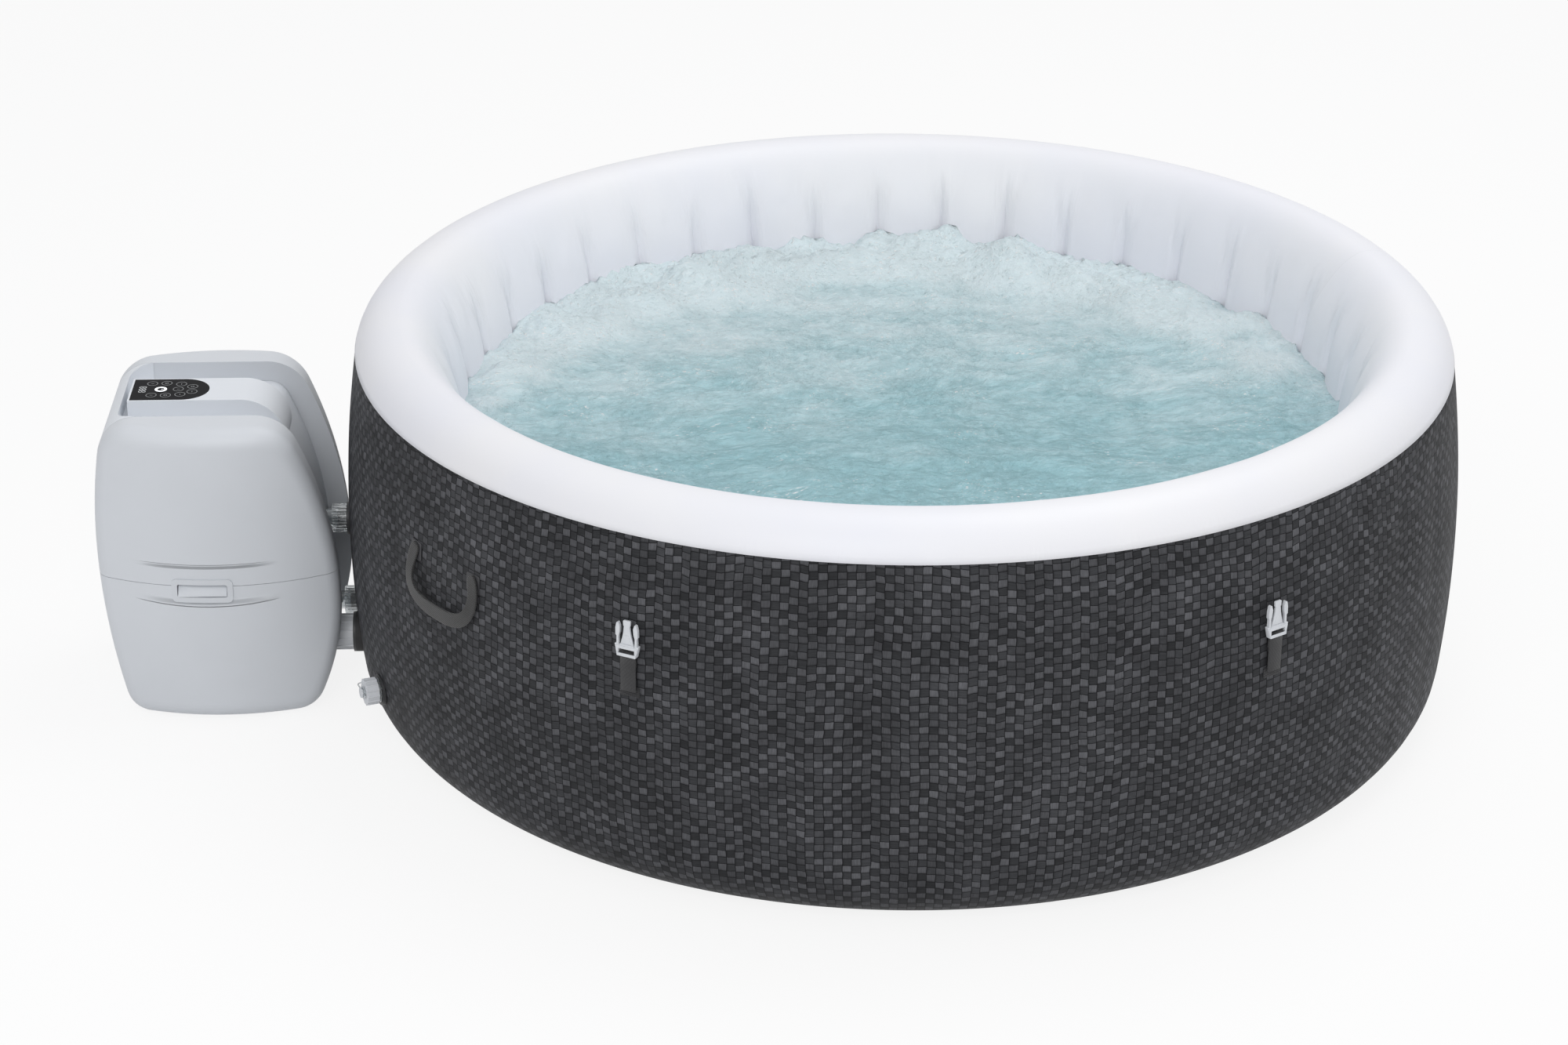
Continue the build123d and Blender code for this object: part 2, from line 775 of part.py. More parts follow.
def build_handle(azimuth):
    """Hanging webbing loop that follows the wall, turned in at its two ends."""
    outer_half = handle_half_span + handle_band / 2
    with BuildPart() as handle:
        with BuildSketch(facing(azimuth, outer_radius - 60, handle_height)):
            with Locations((0, -handle_drop / 2)):
                RectangleRounded(2 * outer_half, handle_drop + handle_band, 36)
            with Locations((0, -handle_drop / 2 + 2)):
                RectangleRounded(2 * (outer_half - handle_band), handle_drop - handle_band, 18, mode=Mode.SUBTRACT)
            with Locations((0, handle_band)):
                Rectangle(2 * (outer_half - 40), 4 * handle_band, mode=Mode.SUBTRACT)
        extrude(amount=100)
        add(handle_curve, mode=Mode.INTERSECT)
    return handle


for number, azimuth in enumerate(handle_azimuths, start=1):
    save(build_handle(azimuth), f"carry_handle_{number}")


# ---------------------------------------------------------------------------
# Pump unit casing
# ---------------------------------------------------------------------------
unit_front = Plane(origin=(pump_x, 0, 0), x_dir=(1, 0, 0), z_dir=(0, -1, 0))
unit_top = Plane(origin=(pump_x, 0, 0))


def casing_side(turn, flat_top, shoulder, waist, hip, flat_foot):
    """One side of the casing's front view, from the middle of its top round to its foot."""
    line = Line((0, pump_height), (turn * flat_top, pump_height))
    corners = (
        (shoulder[0], pump_height - shoulder[1]),
        (half_width, waist),
        hip,
        (flat_foot, pump_foot_height),
    )
    for x, height in corners:
        line = TangentArc(line @ 1, (turn * x, height), tangent=line % 1)
    Line(line @ 1, (0, pump_foot_height))


def casing_outline():
    """Front view of the casing, square-shouldered on its far side and sloped to the tub."""
    casing_side(1, tub_side_top, tub_side_shoulder, tub_side_waist, tub_side_hip, tub_side_foot)
    casing_side(-1, far_side_top, far_side_shoulder, far_side_waist, far_side_hip, far_side_foot)


def casing_block(inset, depth):
    """Prism of the casing's outline, moved inward by inset, out to depth on both sides."""
    with BuildPart() as block:
        with BuildSketch(unit_front.offset(-depth)):
            with BuildLine():
                casing_outline()
            make_face()
            if inset:
                offset(amount=-inset, kind=Kind.INTERSECTION)
        extrude(amount=2 * depth)
    return block.part


def casing_form(inset):
    """The casing as a solid with every face moved inward by inset, faces crowned in plan."""
    with BuildPart() as form:
        add(casing_block(inset, 2 * pump_half_depth))
        with BuildSketch(unit_top):
            with BuildLine():
                front = ThreePointArc(
                    (-half_width, -pump_edge_depth + inset),
                    (0, -pump_half_depth + inset),
                    (half_width, -pump_edge_depth + inset),
                )
                Line(front @ 1, (half_width, 0))
                Line(front @ 0, (-half_width, 0))
                mirror(about=Plane.XZ)
            make_face()
        extrude(amount=pump_height + 10, mode=Mode.INTERSECT)
        faces = form.faces().filter_by(lambda f: abs(f.center().Y) > pump_edge_depth - inset)
        fillet(faces.edges(), pump_edge_round - inset)
    return form.part


def channel_form(side, inset):
    """Space of the hose channel over the top and down the tub side of the casing."""
    with BuildPart() as channel:
        reach = half_width + 60
        with BuildSketch(unit_top):
            with Locations(((reach - channel_start - inset) / 2, 0)):
                RectangleRounded(reach + channel_start + inset, 2 * side, channel_end_round)
        extrude(amount=pump_height + 20)
        add(casing_block(channel_depth + inset, side + 10), mode=Mode.SUBTRACT)
        with BuildSketch(unit_top):
            with Locations((tub_side_top - 2 * half_width, 0)):
                Rectangle(4 * half_width, 4 * side)
        extrude(amount=pump_height - channel_depth - inset, mode=Mode.SUBTRACT)
    return channel.part


def grip_form(extra, outward, inward):
    """Prisms of the two finger grips, on the front and back of the casing."""
    with BuildPart() as grips:
        for turn in (1, -1):
            grip_plane = Plane(
                origin=(pump_x + grip_offset, turn * -(pump_half_depth + outward), casing_split - grip_lower),
                x_dir=(turn, 0, 0),
                z_dir=(0, turn, 0),
            )
            with BuildSketch(grip_plane):
                RectangleRounded(grip_width + 2 * extra, grip_tall + 2 * extra, 3 + 0.6 * extra)
            extrude(amount=outward + inward)
    return grips.part


outer_form = casing_form(0)
inner_form = casing_form(casing_wall)
inner_channel = channel_form(channel_half_width + casing_wall, casing_wall)
grip_hole = grip_form(grip_border - 2, 10, grip_depth + 10)

with BuildPart() as hollow:
    add(inner_form)
    add(inner_channel, mode=Mode.SUBTRACT)

with BuildPart() as casing:
    add(outer_form)
    add(channel_form(channel_half_width, 0), mode=Mode.SUBTRACT)
    add(hollow.part, mode=Mode.SUBTRACT)
    add(grip_hole, mode=Mode.SUBTRACT)


def space(x, y, z):
    """Box of the casing between limits, each a (low, high) pair, with x from the unit's middle."""
    with BuildPart() as box:
        with BuildSketch(Plane(origin=(pump_x + (x[0] + x[1]) / 2, (y[0] + y[1]) / 2, z[0]))):
            Rectangle(x[1] - x[0], y[1] - y[0])
        extrude(amount=z[1] - z[0])
    return box.part


far = 400.0
half_seam = seam_gap / 2
port_hole_form = port_bores(fit_gap - collar_lip, outer_radius - bore_reach, outer_radius + pipe_reach)

with BuildPart() as lower_housing:
    add(casing.part)
    add(space((-far, far), (-far, far), (0, casing_split - half_seam)), mode=Mode.INTERSECT)
    add(port_hole_form, mode=Mode.SUBTRACT)
    with BuildSketch(unit_front.offset(-pump_half_depth - 10)):
        with Locations((gland_offset, gland_height)):
            Circle(gland_radius + running_gap)
    extrude(amount=gland_length + 20, mode=Mode.SUBTRACT)
save(lower_housing, "lower_housing")

upper = (casing_split + half_seam, far + pump_height)
with BuildPart() as front_cover:
    add(casing.part)
    add(space((-far, far), (-far, -channel_half_width - half_seam), upper), mode=Mode.INTERSECT)
save(front_cover, "front_cover")

with BuildPart() as back_cover:
    add(casing.part)
    add(space((-far, far), (channel_half_width + half_seam, far), upper), mode=Mode.INTERSECT)
save(back_cover, "back_cover")

spine_half = channel_half_width - half_seam
with BuildPart() as channel_spine:
    add(casing.part)
    add(space((-far, far), (-spine_half, spine_half), upper), mode=Mode.INTERSECT)
    add(port_hole_form, mode=Mode.SUBTRACT)
save(channel_spine, "channel_spine")

with BuildPart() as behind_grips:
    add(grip_form(grip_border + 5, 10, grip_depth + 10))
    add(outer_form, mode=Mode.INTERSECT)
    add(grip_form(grip_wall, 10, grip_depth), mode=Mode.SUBTRACT)

with BuildPart() as grip_pockets:
    add(grip_form(grip_border, 10, grip_depth))
    add(casing_form(-grip_wall), mode=Mode.INTERSECT)
    add(behind_grips.part, mode=Mode.SUBTRACT)
    add(grip_form(0, 10, grip_depth - grip_wall), mode=Mode.SUBTRACT)
save(grip_pockets, "grip_pockets")

# Bridge along the channel, with the control panel set in its top
bridge_top = pump_height - bridge_drop
panel_end = panel_border - bridge_start + panel_length
panel_half = bridge_half_width - panel_border
with BuildPart() as panel_bridge:
    with BuildSketch(unit_front.offset(-bridge_half_width)):
        with BuildLine():
            low = pump_height - 2 * channel_depth - bridge_end_drop
            top = Line((-bridge_start, bridge_top), (bridge_bend_start, bridge_top))
            bend = TangentArc(top @ 1, (bridge_end, bridge_top - bridge_end_drop), tangent=top % 1)
            Polyline(bend @ 1, (bridge_end, low), (-bridge_start, low), top @ 0)
        make_face()
    extrude(amount=2 * bridge_half_width)
    add(casing_block(channel_depth, 2 * bridge_half_width), mode=Mode.SUBTRACT)
    under_floor = (0, pump_height - channel_depth)
    add(space((-far, tub_side_top), (-far, far), under_floor), mode=Mode.SUBTRACT)
    with BuildSketch(unit_top.offset(bridge_top - panel_pocket)):
        with Locations(((panel_border - bridge_start + panel_end - panel_half) / 2, 0)):
            Rectangle(panel_length - panel_half, 2 * panel_half)
        with Locations((panel_end - panel_half, 0)):
            Circle(panel_half)
    extrude(amount=2 * panel_pocket, mode=Mode.SUBTRACT)
    with BuildSketch(unit_top.offset(bridge_top - panel_pocket - board_thickness)):
        with Locations((panel_end - panel_length / 2, 0)):
            Rectangle(panel_length * 0.8, panel_half * 1.5)
    extrude(amount=board_thickness, mode=Mode.SUBTRACT)
save(panel_bridge, "panel_bridge")

with BuildPart() as control_panel:
    with BuildSketch(unit_top.offset(bridge_top - panel_pocket)):
        with Locations(((panel_border - bridge_start + panel_end - panel_half) / 2, 0)):
            Rectangle(panel_length - panel_half, 2 * panel_half)
        with Locations((panel_end - panel_half, 0)):
            Circle(panel_half)
        offset(amount=-fit_gap)
    extrude(amount=panel_thickness)
save(control_panel, "control_panel")

with BuildPart() as control_board:
    with BuildSketch(unit_top.offset(bridge_top - panel_pocket - board_thickness)):
        with Locations((panel_end - panel_length / 2, 0)):
            Rectangle(panel_length * 0.8 - 1, panel_half * 1.5 - 1)
    extrude(amount=board_thickness)
save(control_board, "control_board")

with BuildPart() as pump_feet:
    with BuildSketch(unit_top):
        with GridLocations(2 * foot_spread, 2 * foot_spread_deep, 2, 2):
            Circle(foot_pad_radius)
    extrude(amount=pump_foot_height)
save(pump_feet, "pump_feet")

# ---------------------------------------------------------------------------
# Pipes and union nuts between the pump unit and the tub
# ---------------------------------------------------------------------------
pipe_inner_end = -pump_x - pipe_reach


def build_pipe(port):
    """Pipe from inside the casing to its collar against the spigot's end."""
    start = spigot_end(port) + fit_gap
    with BuildPart() as pipe:
        with BuildSketch(along_port(port, start)):
            Circle(port[2])
        extrude(amount=pipe_inner_end - start)
        with BuildSketch(along_port(port, start)):
            Circle(spigot_radius(port))
        extrude(amount=collar_thickness)
        with BuildSketch(along_port(port, start - 1)):
            Circle(port[2] - pipe_wall)
        extrude(amount=pipe_inner_end, mode=Mode.SUBTRACT)
    return pipe


def build_nut(port, ribs):
    """Union nut round the spigot and the collar, with a shoulder behind the collar."""
    start = flange_face(port) + flange_thickness + fit_gap
    shoulder = spigot_end(port) + 2 * fit_gap + collar_thickness
    with BuildPart() as nut:
        with BuildSketch(along_port(port, start)):
            ribbed_disc(nut_radius(port) - nut_rib_depth, ribs, nut_rib_depth)
        extrude(amount=shoulder + nut_cap - start)
        with BuildSketch(along_port(port, start)):
            Circle(spigot_radius(port) + fit_gap)
        extrude(amount=shoulder - start, mode=Mode.SUBTRACT)
        with BuildSketch(along_port(port, start)):
            Circle(port[2] + fit_gap)
        extrude(amount=outer_radius, mode=Mode.SUBTRACT)
    return nut


with BuildPart() as clear_pipes:
    add(build_pipe(ports[0]).part)
    add(build_pipe(ports[1]).part)
save(clear_pipes, "clear_pipes")
save(build_pipe(ports[2]), "air_pipe")

save(build_nut(ports[0], 2 * nut_ribs), "outlet_nut")
save(build_nut(ports[1], 2 * nut_ribs), "intake_nut")
save(build_nut(ports[2], nut_ribs), "air_nut")

# ---------------------------------------------------------------------------
# Inside the pump unit
# ---------------------------------------------------------------------------
housing_floor = pump_foot_height + casing_wall


def inside(x, y, z):
    """Level plane at a place inside the unit, with x from the unit's middle."""
    return Plane(origin=(pump_x + x, y, z))


def inside_along_x(x, y, z):
    """Plane across the x direction inside the unit, facing the tub."""
    return Plane(origin=(pump_x + x, y, z), x_dir=(0, 1, 0), z_dir=(1, 0, 0))


blower_floor = frame_height + frame_sheet
with BuildPart() as inner_frame:
    with BuildSketch(inside(blower_offset, 0, frame_height)):
        RectangleRounded(2 * blower_radius + 8, 2 * frame_half_depth, 10)
        Circle(blower_radius * 0.5, mode=Mode.SUBTRACT)
    extrude(amount=frame_sheet)
    with BuildSketch(inside(blower_offset + frame_post_shift, 0, housing_floor)):
        with GridLocations(frame_post_span, 2 * (frame_half_depth - frame_post_radius), 2, 2):
            Circle(frame_post_radius)
    extrude(amount=frame_height - housing_floor)
save(inner_frame, "inner_frame")

# Circulation pump: volute on the intake pipe, motor behind it, impeller between
volute_back = volute_place
volute_y = lower_port_offset
volute_front = volute_back + volute_length
with BuildPart() as volute:
    with BuildSketch(inside_along_x(volute_back, volute_y, lower_port_height)):
        Circle(volute_radius)
    extrude(amount=volute_length)
    with BuildSketch(inside_along_x(volute_front, volute_y, lower_port_height)):
        Circle(water_pipe_radius)
    extrude(amount=pipe_reach - volute_front)
    middle = (volute_back + volute_front) / 2
    with BuildSketch(inside(middle, volute_y, lower_port_height)):
        Circle(line_radius)
    extrude(amount=heater_foot - lower_port_height)
    with BuildSketch(inside_along_x(volute_back + volute_wall, volute_y, lower_port_height)):
        Circle(volute_radius - volute_wall)
    extrude(amount=volute_length - 2 * volute_wall, mode=Mode.SUBTRACT)
    with BuildSketch(inside_along_x(volute_front - 2 * volute_wall, volute_y, lower_port_height)):
        Circle(water_pipe_radius - pipe_wall)
    extrude(amount=pipe_reach, mode=Mode.SUBTRACT)
    with BuildSketch(inside(middle, volute_y, lower_port_height + volute_radius - 2 * volute_wall)):
        Circle(line_radius - pipe_wall)
    extrude(amount=heater_foot, mode=Mode.SUBTRACT)
    with BuildSketch(inside_along_x(volute_back - 1, volute_y, lower_port_height)):
        Circle(shaft_radius + running_gap)
    extrude(amount=2 * volute_wall, mode=Mode.SUBTRACT)
save(volute, "volute")

with BuildPart() as pump_motor:
    with BuildSketch(inside_along_x(volute_back - motor_length, volute_y, lower_port_height)):
        Circle(motor_radius)
    extrude(amount=motor_length)
    with BuildSketch(inside(volute_back - motor_length / 2, volute_y, housing_floor)):
        Rectangle(motor_length * 0.7, motor_radius * 1.4)
    extrude(amount=lower_port_height - housing_floor)
    with BuildSketch(inside_along_x(volute_back - shaft_length, volute_y, lower_port_height)):
        Circle(shaft_radius + running_gap)
    extrude(amount=shaft_length, mode=Mode.SUBTRACT)
save(pump_motor, "pump_motor")

impeller_back = volute_back + volute_wall + 4
with BuildPart() as impeller:
    with BuildSketch(inside_along_x(impeller_back, volute_y, lower_port_height)):
        Circle(impeller_radius)
    extrude(amount=3)
    with BuildSketch(inside_along_x(impeller_back + 3, volute_y, lower_port_height)):
        with PolarLocations(impeller_radius / 2 + 2, impeller_vanes):
            Rectangle(impeller_radius - 8, 2.2, rotation=25)
        Circle(9)
    extrude(amount=10)
    with BuildSketch(inside_along_x(volute_back - shaft_length + 1, volute_y, lower_port_height)):
        Circle(shaft_radius)
    extrude(amount=impeller_back - volute_back + shaft_length)
save(impeller, "impeller")

heater_x = (volute_back + volute_front) / 2
with BuildPart() as heater_tube:
    with BuildSketch(inside(heater_x, volute_y, heater_foot)):
        Circle(heater_radius)
    extrude(amount=heater_length)
    with BuildSketch(inside(heater_x, volute_y, heater_foot + heater_wall)):
        Circle(heater_radius - heater_wall)
    extrude(amount=heater_length - 2 * heater_wall, mode=Mode.SUBTRACT)
    with BuildSketch(inside(heater_x, volute_y, heater_foot - 1)):
        Circle(line_radius - pipe_wall)
    extrude(amount=heater_wall + 2, mode=Mode.SUBTRACT)
    with BuildSketch(Plane(origin=(pump_x + heater_x, volute_y, upper_port_height), z_dir=(0, -1, 0))):
        Circle(line_radius - pipe_wall)
    extrude(amount=heater_radius + 2, mode=Mode.SUBTRACT)
save(heater_tube, "heater_tube")


def pipe_along(points, radius):
    """Tube with rounded corners along points inside the unit."""
    with BuildPart() as pipe:
        with BuildLine() as line:
            FilletPolyline(*[(pump_x + x, y, z) for x, y, z in points], radius=radius)
        with BuildSketch(Plane(origin=line.line @ 0, z_dir=line.line % 0)):
            Circle(line_radius)
            Circle(line_radius - pipe_wall, mode=Mode.SUBTRACT)
        sweep(path=line.line)
    return pipe.part


with BuildPart() as water_line:
    add(
        pipe_along(
            (
                (heater_x, volute_y - heater_radius + 1, upper_port_height),
                (heater_x, 0, upper_port_height),
                (pipe_reach, 0, upper_port_height),
            ),
            line_bend,
        )
    )
    with BuildSketch(inside(heater_x, volute_y, heater_foot)):
        Circle(heater_radius)
    extrude(amount=heater_length, mode=Mode.SUBTRACT)
save(water_line, "water_line")

blower_outlet = blower_floor + blower_tall / 2
valve_top = valve_body_foot + valve_body_tall
with BuildPart() as air_line:
    add(
        pipe_along(
            (
                (pipe_reach, -lower_port_offset, lower_port_height),
                (air_leg_offset, -lower_port_offset, lower_port_height),
                (air_leg_offset, -lower_port_offset, valve_body_foot),
            ),
            line_bend,
        )
    )
    add(
        pipe_along(
            (
                (air_leg_offset, -lower_port_offset, valve_top),
                (air_leg_offset, -lower_port_offset, blower_outlet),
                (blower_nozzle_end, -lower_port_offset, blower_outlet),
            ),
            line_bend,
        )
    )
save(air_line, "air_line")

with BuildPart() as check_valve:
    with BuildSketch(inside(air_leg_offset, -lower_port_offset, valve_body_foot)):
        Circle(valve_body_radius)
    extrude(amount=valve_body_tall)
    with BuildSketch(inside(air_leg_offset, -lower_port_offset, valve_body_foot + casing_wall)):
        Circle(valve_body_radius - casing_wall)
    extrude(amount=valve_body_tall - 2 * casing_wall, mode=Mode.SUBTRACT)
    with BuildSketch(inside(air_leg_offset, -lower_port_offset, valve_body_foot - 1)):
        Circle(line_radius - pipe_wall)
    extrude(amount=valve_body_tall + 2, mode=Mode.SUBTRACT)
    with BuildSketch(inside(air_leg_offset - flap_radius - 2, -lower_port_offset, valve_top - casing_wall - 6)):
        with Locations((0, 12), (0, -12)):
            Rectangle(6, 3)
    extrude(amount=6.5)
    with BuildSketch(
        Plane(
            origin=(
                pump_x + air_leg_offset - flap_radius - 2,
                -lower_port_offset - 20,
                valve_top - casing_wall - 3,
            ),
            z_dir=(0, 1, 0),
        )
    ):
        Circle(1.5 + running_gap)
    extrude(amount=40, mode=Mode.SUBTRACT)
save(check_valve, "check_valve")

with BuildPart() as valve_flap:
    hinge_x = air_leg_offset - flap_radius - 2
    hinge_z = valve_top - casing_wall - 3
    with BuildSketch(inside(air_leg_offset, -lower_port_offset, valve_top - casing_wall - fit_gap - flap_sheet)):
        Circle(flap_radius)
        with Locations((-flap_radius, 0)):
            Rectangle(4, 16)
    extrude(amount=flap_sheet)
    with BuildSketch(Plane(origin=(pump_x + hinge_x, -lower_port_offset - 13, hinge_z), z_dir=(0, 1, 0))):
        Circle(1.5)
    extrude(amount=26)
    with BuildSketch(inside(hinge_x + 1, -lower_port_offset, hinge_z)):
        Rectangle(2, 16)
    extrude(amount=3 - fit_gap)
save(valve_flap, "valve_flap")

with BuildPart() as blower_housing:
    nozzle = Plane(
        origin=(pump_x + blower_offset, -lower_port_offset, blower_outlet), x_dir=(0, 1, 0), z_dir=(1, 0, 0)
    )
    with BuildSketch(inside(blower_offset, 0, blower_floor)):
        Circle(blower_radius)
    extrude(amount=blower_tall)
    with BuildSketch(nozzle):
        Circle(line_radius)
    extrude(amount=blower_nozzle_end - blower_offset)
    with BuildSketch(inside(blower_offset, 0, blower_floor + blower_wall)):
        Circle(blower_radius - blower_wall)
    extrude(amount=blower_tall - 2 * blower_wall, mode=Mode.SUBTRACT)
    with BuildSketch(nozzle):
        Circle(line_radius - pipe_wall)
    extrude(amount=blower_nozzle_end, mode=Mode.SUBTRACT)
    with BuildSketch(inside(blower_offset, 0, blower_floor - 1)):
        Circle(blower_radius * 0.4)
    extrude(amount=2 * blower_wall, mode=Mode.SUBTRACT)
    with BuildSketch(inside(blower_offset, 0, blower_floor + blower_tall / 2)):
        Circle(shaft_radius + running_gap)
    extrude(amount=blower_tall, mode=Mode.SUBTRACT)
save(blower_housing, "blower_housing")

blower_motor_foot = blower_floor + blower_tall
with BuildPart() as blower_motor:
    with BuildSketch(inside(blower_offset, 0, blower_motor_foot)):
        Circle(blower_motor_radius)
    extrude(amount=blower_motor_tall)
    with BuildSketch(inside(blower_offset, 0, blower_motor_foot)):
        Circle(shaft_radius + running_gap)
    extrude(amount=blower_motor_tall / 2, mode=Mode.SUBTRACT)
save(blower_motor, "blower_motor")

fan_foot = blower_floor + blower_wall + 4
with BuildPart() as blower_fan:
    with BuildSketch(inside(blower_offset, 0, blower_motor_foot - blower_wall - 7)):
        Circle(fan_radius)
    extrude(amount=3)
    with BuildSketch(inside(blower_offset, 0, fan_foot)):
        with PolarLocations(fan_radius * 0.72, fan_blades):
            Rectangle(fan_radius * 0.5, 2, rotation=30)
    extrude(amount=blower_motor_foot - blower_wall - 7 - fan_foot)
    with BuildSketch(inside(blower_offset, 0, blower_motor_foot - blower_wall - 7)):
        Circle(shaft_radius)
    extrude(amount=blower_wall + 7 + blower_motor_tall / 2 - 1)
save(blower_fan, "blower_fan")

# Cable gland on the back of the lower housing
gland_plane = Plane(
    origin=(pump_x + gland_offset, pump_half_depth - gland_length / 2, gland_height),
    x_dir=(-1, 0, 0),
    z_dir=(0, 1, 0),
)
with BuildPart() as cord_gland:
    with BuildSketch(gland_plane):
        Circle(gland_radius)
    extrude(amount=gland_length)
    with BuildSketch(gland_plane):
        Circle(gland_radius + 4)
    extrude(amount=gland_length / 2 + 4)
    add(outer_form, mode=Mode.SUBTRACT)
    with BuildSketch(gland_plane):
        Circle(gland_radius)
    extrude(amount=gland_length)
    with BuildSketch(gland_plane.offset(-1)):
        Circle(gland_bore)
    extrude(amount=gland_length + 2, mode=Mode.SUBTRACT)
save(cord_gland, "cord_gland")
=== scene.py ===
import math
import random

import bmesh
import bpy
from bpy.props import FloatProperty, FloatVectorProperty, IntProperty, PointerProperty
from mathutils import Matrix, Vector, noise


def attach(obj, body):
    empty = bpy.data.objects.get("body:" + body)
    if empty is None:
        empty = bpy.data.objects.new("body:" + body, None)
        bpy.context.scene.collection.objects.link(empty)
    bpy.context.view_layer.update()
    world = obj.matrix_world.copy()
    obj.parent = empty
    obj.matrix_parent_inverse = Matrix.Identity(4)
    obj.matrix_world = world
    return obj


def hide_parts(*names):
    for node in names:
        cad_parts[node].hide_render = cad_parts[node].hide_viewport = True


bl_info = {
    "name": "Inflatable hot tub",
    "version": (1, 0, 0),
    "blender": (4, 5, 0),
    "location": "View3D > Sidebar > Hot tub",
    "description": "Dresses the packed hot tub in its vinyl, webbing, moulded plastic and water",
    "category": "Object",
}

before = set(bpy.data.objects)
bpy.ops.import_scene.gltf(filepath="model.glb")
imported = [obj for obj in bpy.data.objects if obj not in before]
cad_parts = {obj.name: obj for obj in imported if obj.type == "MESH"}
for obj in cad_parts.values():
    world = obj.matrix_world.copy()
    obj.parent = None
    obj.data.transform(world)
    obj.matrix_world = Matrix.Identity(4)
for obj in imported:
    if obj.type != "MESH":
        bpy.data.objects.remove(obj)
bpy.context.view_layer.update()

TURN = 2 * math.pi

# Sizes that the solids share with the pieces here, in metres and degrees
SEAM_RADIUS = 0.877
SEAM_HEIGHT = 0.596
BULGE_RADIUS = 0.900
BULGE_HEIGHT = 0.300
FOOT_HEIGHT = 0.095
BASE_RADIUS = 0.790
CREST_RADIUS = 0.808
TUB_HEIGHT = 0.652
INNER_RADIUS = 0.712
LIP_HEIGHT = 0.420
PLEAT_DEPTH = 0.008
BEAM_COUNT = 40
# Radius of the arc that the side wall bulges to
SIDE_CURVE = ((SEAM_HEIGHT - BULGE_HEIGHT) ** 2 + (BULGE_RADIUS - SEAM_RADIUS) ** 2) / (
    2 * (BULGE_RADIUS - SEAM_RADIUS)
)
STRAP_AZIMUTHS = [-29.2 + 62.7 * n for n in range(5)]
STRAP_FOOT = 0.360
STRAP_STAND_OFF = 0.005
STRAP_WIDTH = 0.025
BAR_HEIGHT = 0.4203
ANCHOR_HEIGHT = 0.350
ANCHOR_TALL = 0.016
HANDLE_AZIMUTHS = (-53.3, 126.7)
HANDLE_HEIGHT = 0.442
HANDLE_HALF_SPAN = 0.076
PUMP_X = -1.105
PANEL_START = PUMP_X - 0.136
PANEL_TOP = 0.5113

# Sizes that only the pieces here have
VINYL_THICKNESS = 0.0015
WEBBING_THICKNESS = 0.0016
HANDLE_THICKNESS = 0.0032
SKIN_GAP = 0.0002
INK_THICKNESS = 0.00015
BEAM_PINCH = 0.16


def wall_radius(height):
    """Radius of the tub's outer face at a height on its side."""
    rise = height - BULGE_HEIGHT
    return BULGE_RADIUS - SIDE_CURVE + math.sqrt(SIDE_CURVE**2 - rise**2)


STRAP_RADIUS = wall_radius(STRAP_FOOT) + STRAP_STAND_OFF


# --- Settings ---
class HotTubSettings(bpy.types.PropertyGroup):
    """Sizes and colours that a user would change."""

    print_columns: IntProperty(
        name="Weave columns", description="Printed cells round the side wall", default=416,
        min=60, max=900,
    )
    print_row: FloatProperty(
        name="Weave row", description="Height of one printed cell", default=0.0118,
        unit="LENGTH", precision=4,
    )
    print_light: FloatVectorProperty(
        name="Weave light", description="Colour of the cells on top",
        default=(0.070, 0.071, 0.077), subtype="COLOR", size=3,
    )
    print_dark: FloatVectorProperty(
        name="Weave dark", description="Colour of the cells beneath",
        default=(0.034, 0.035, 0.038), subtype="COLOR", size=3,
    )
    vinyl_colour: FloatVectorProperty(
        name="Rim vinyl", description="Colour of the rim and the inside",
        default=(0.815, 0.815, 0.835), subtype="COLOR", size=3,
    )
    water_level: FloatProperty(
        name="Water level", description="Height of the calm water", default=0.455, unit="LENGTH"
    )
    water_colour: FloatVectorProperty(
        name="Water", description="Colour of the calmer water", default=(0.39, 0.67, 0.73),
        subtype="COLOR", size=3,
    )
    foam_colour: FloatVectorProperty(
        name="Foam", description="Colour of the froth", default=(0.84, 0.93, 0.96),
        subtype="COLOR", size=3,
    )
    casing_colour: FloatVectorProperty(
        name="Casing", description="Colour of the pump unit", default=(0.64, 0.665, 0.70),
        subtype="COLOR", size=3,
    )
    buckle_colour: FloatVectorProperty(
        name="Buckles", description="Colour of the strap buckles", default=(0.64, 0.66, 0.69),
        subtype="COLOR", size=3,
    )
    webbing_colour: FloatVectorProperty(
        name="Webbing", description="Colour of straps and handles", default=(0.012, 0.012, 0.013),
        subtype="COLOR", size=3,
    )


def settings():
    return bpy.context.scene.hot_tub


def shade(colour, amount):
    """A colour times one number, or times one for each channel."""
    amounts = amount if isinstance(amount, tuple) else (amount,) * 3
    return tuple(c * a for c, a in zip(colour, amounts))


# --- Finishes ---
def feed(tree, place, value):
    """Gives a node's input a link or a plain value."""
    if isinstance(value, Number):
        tree.links.new(value.socket, place)
    else:
        place.default_value = value


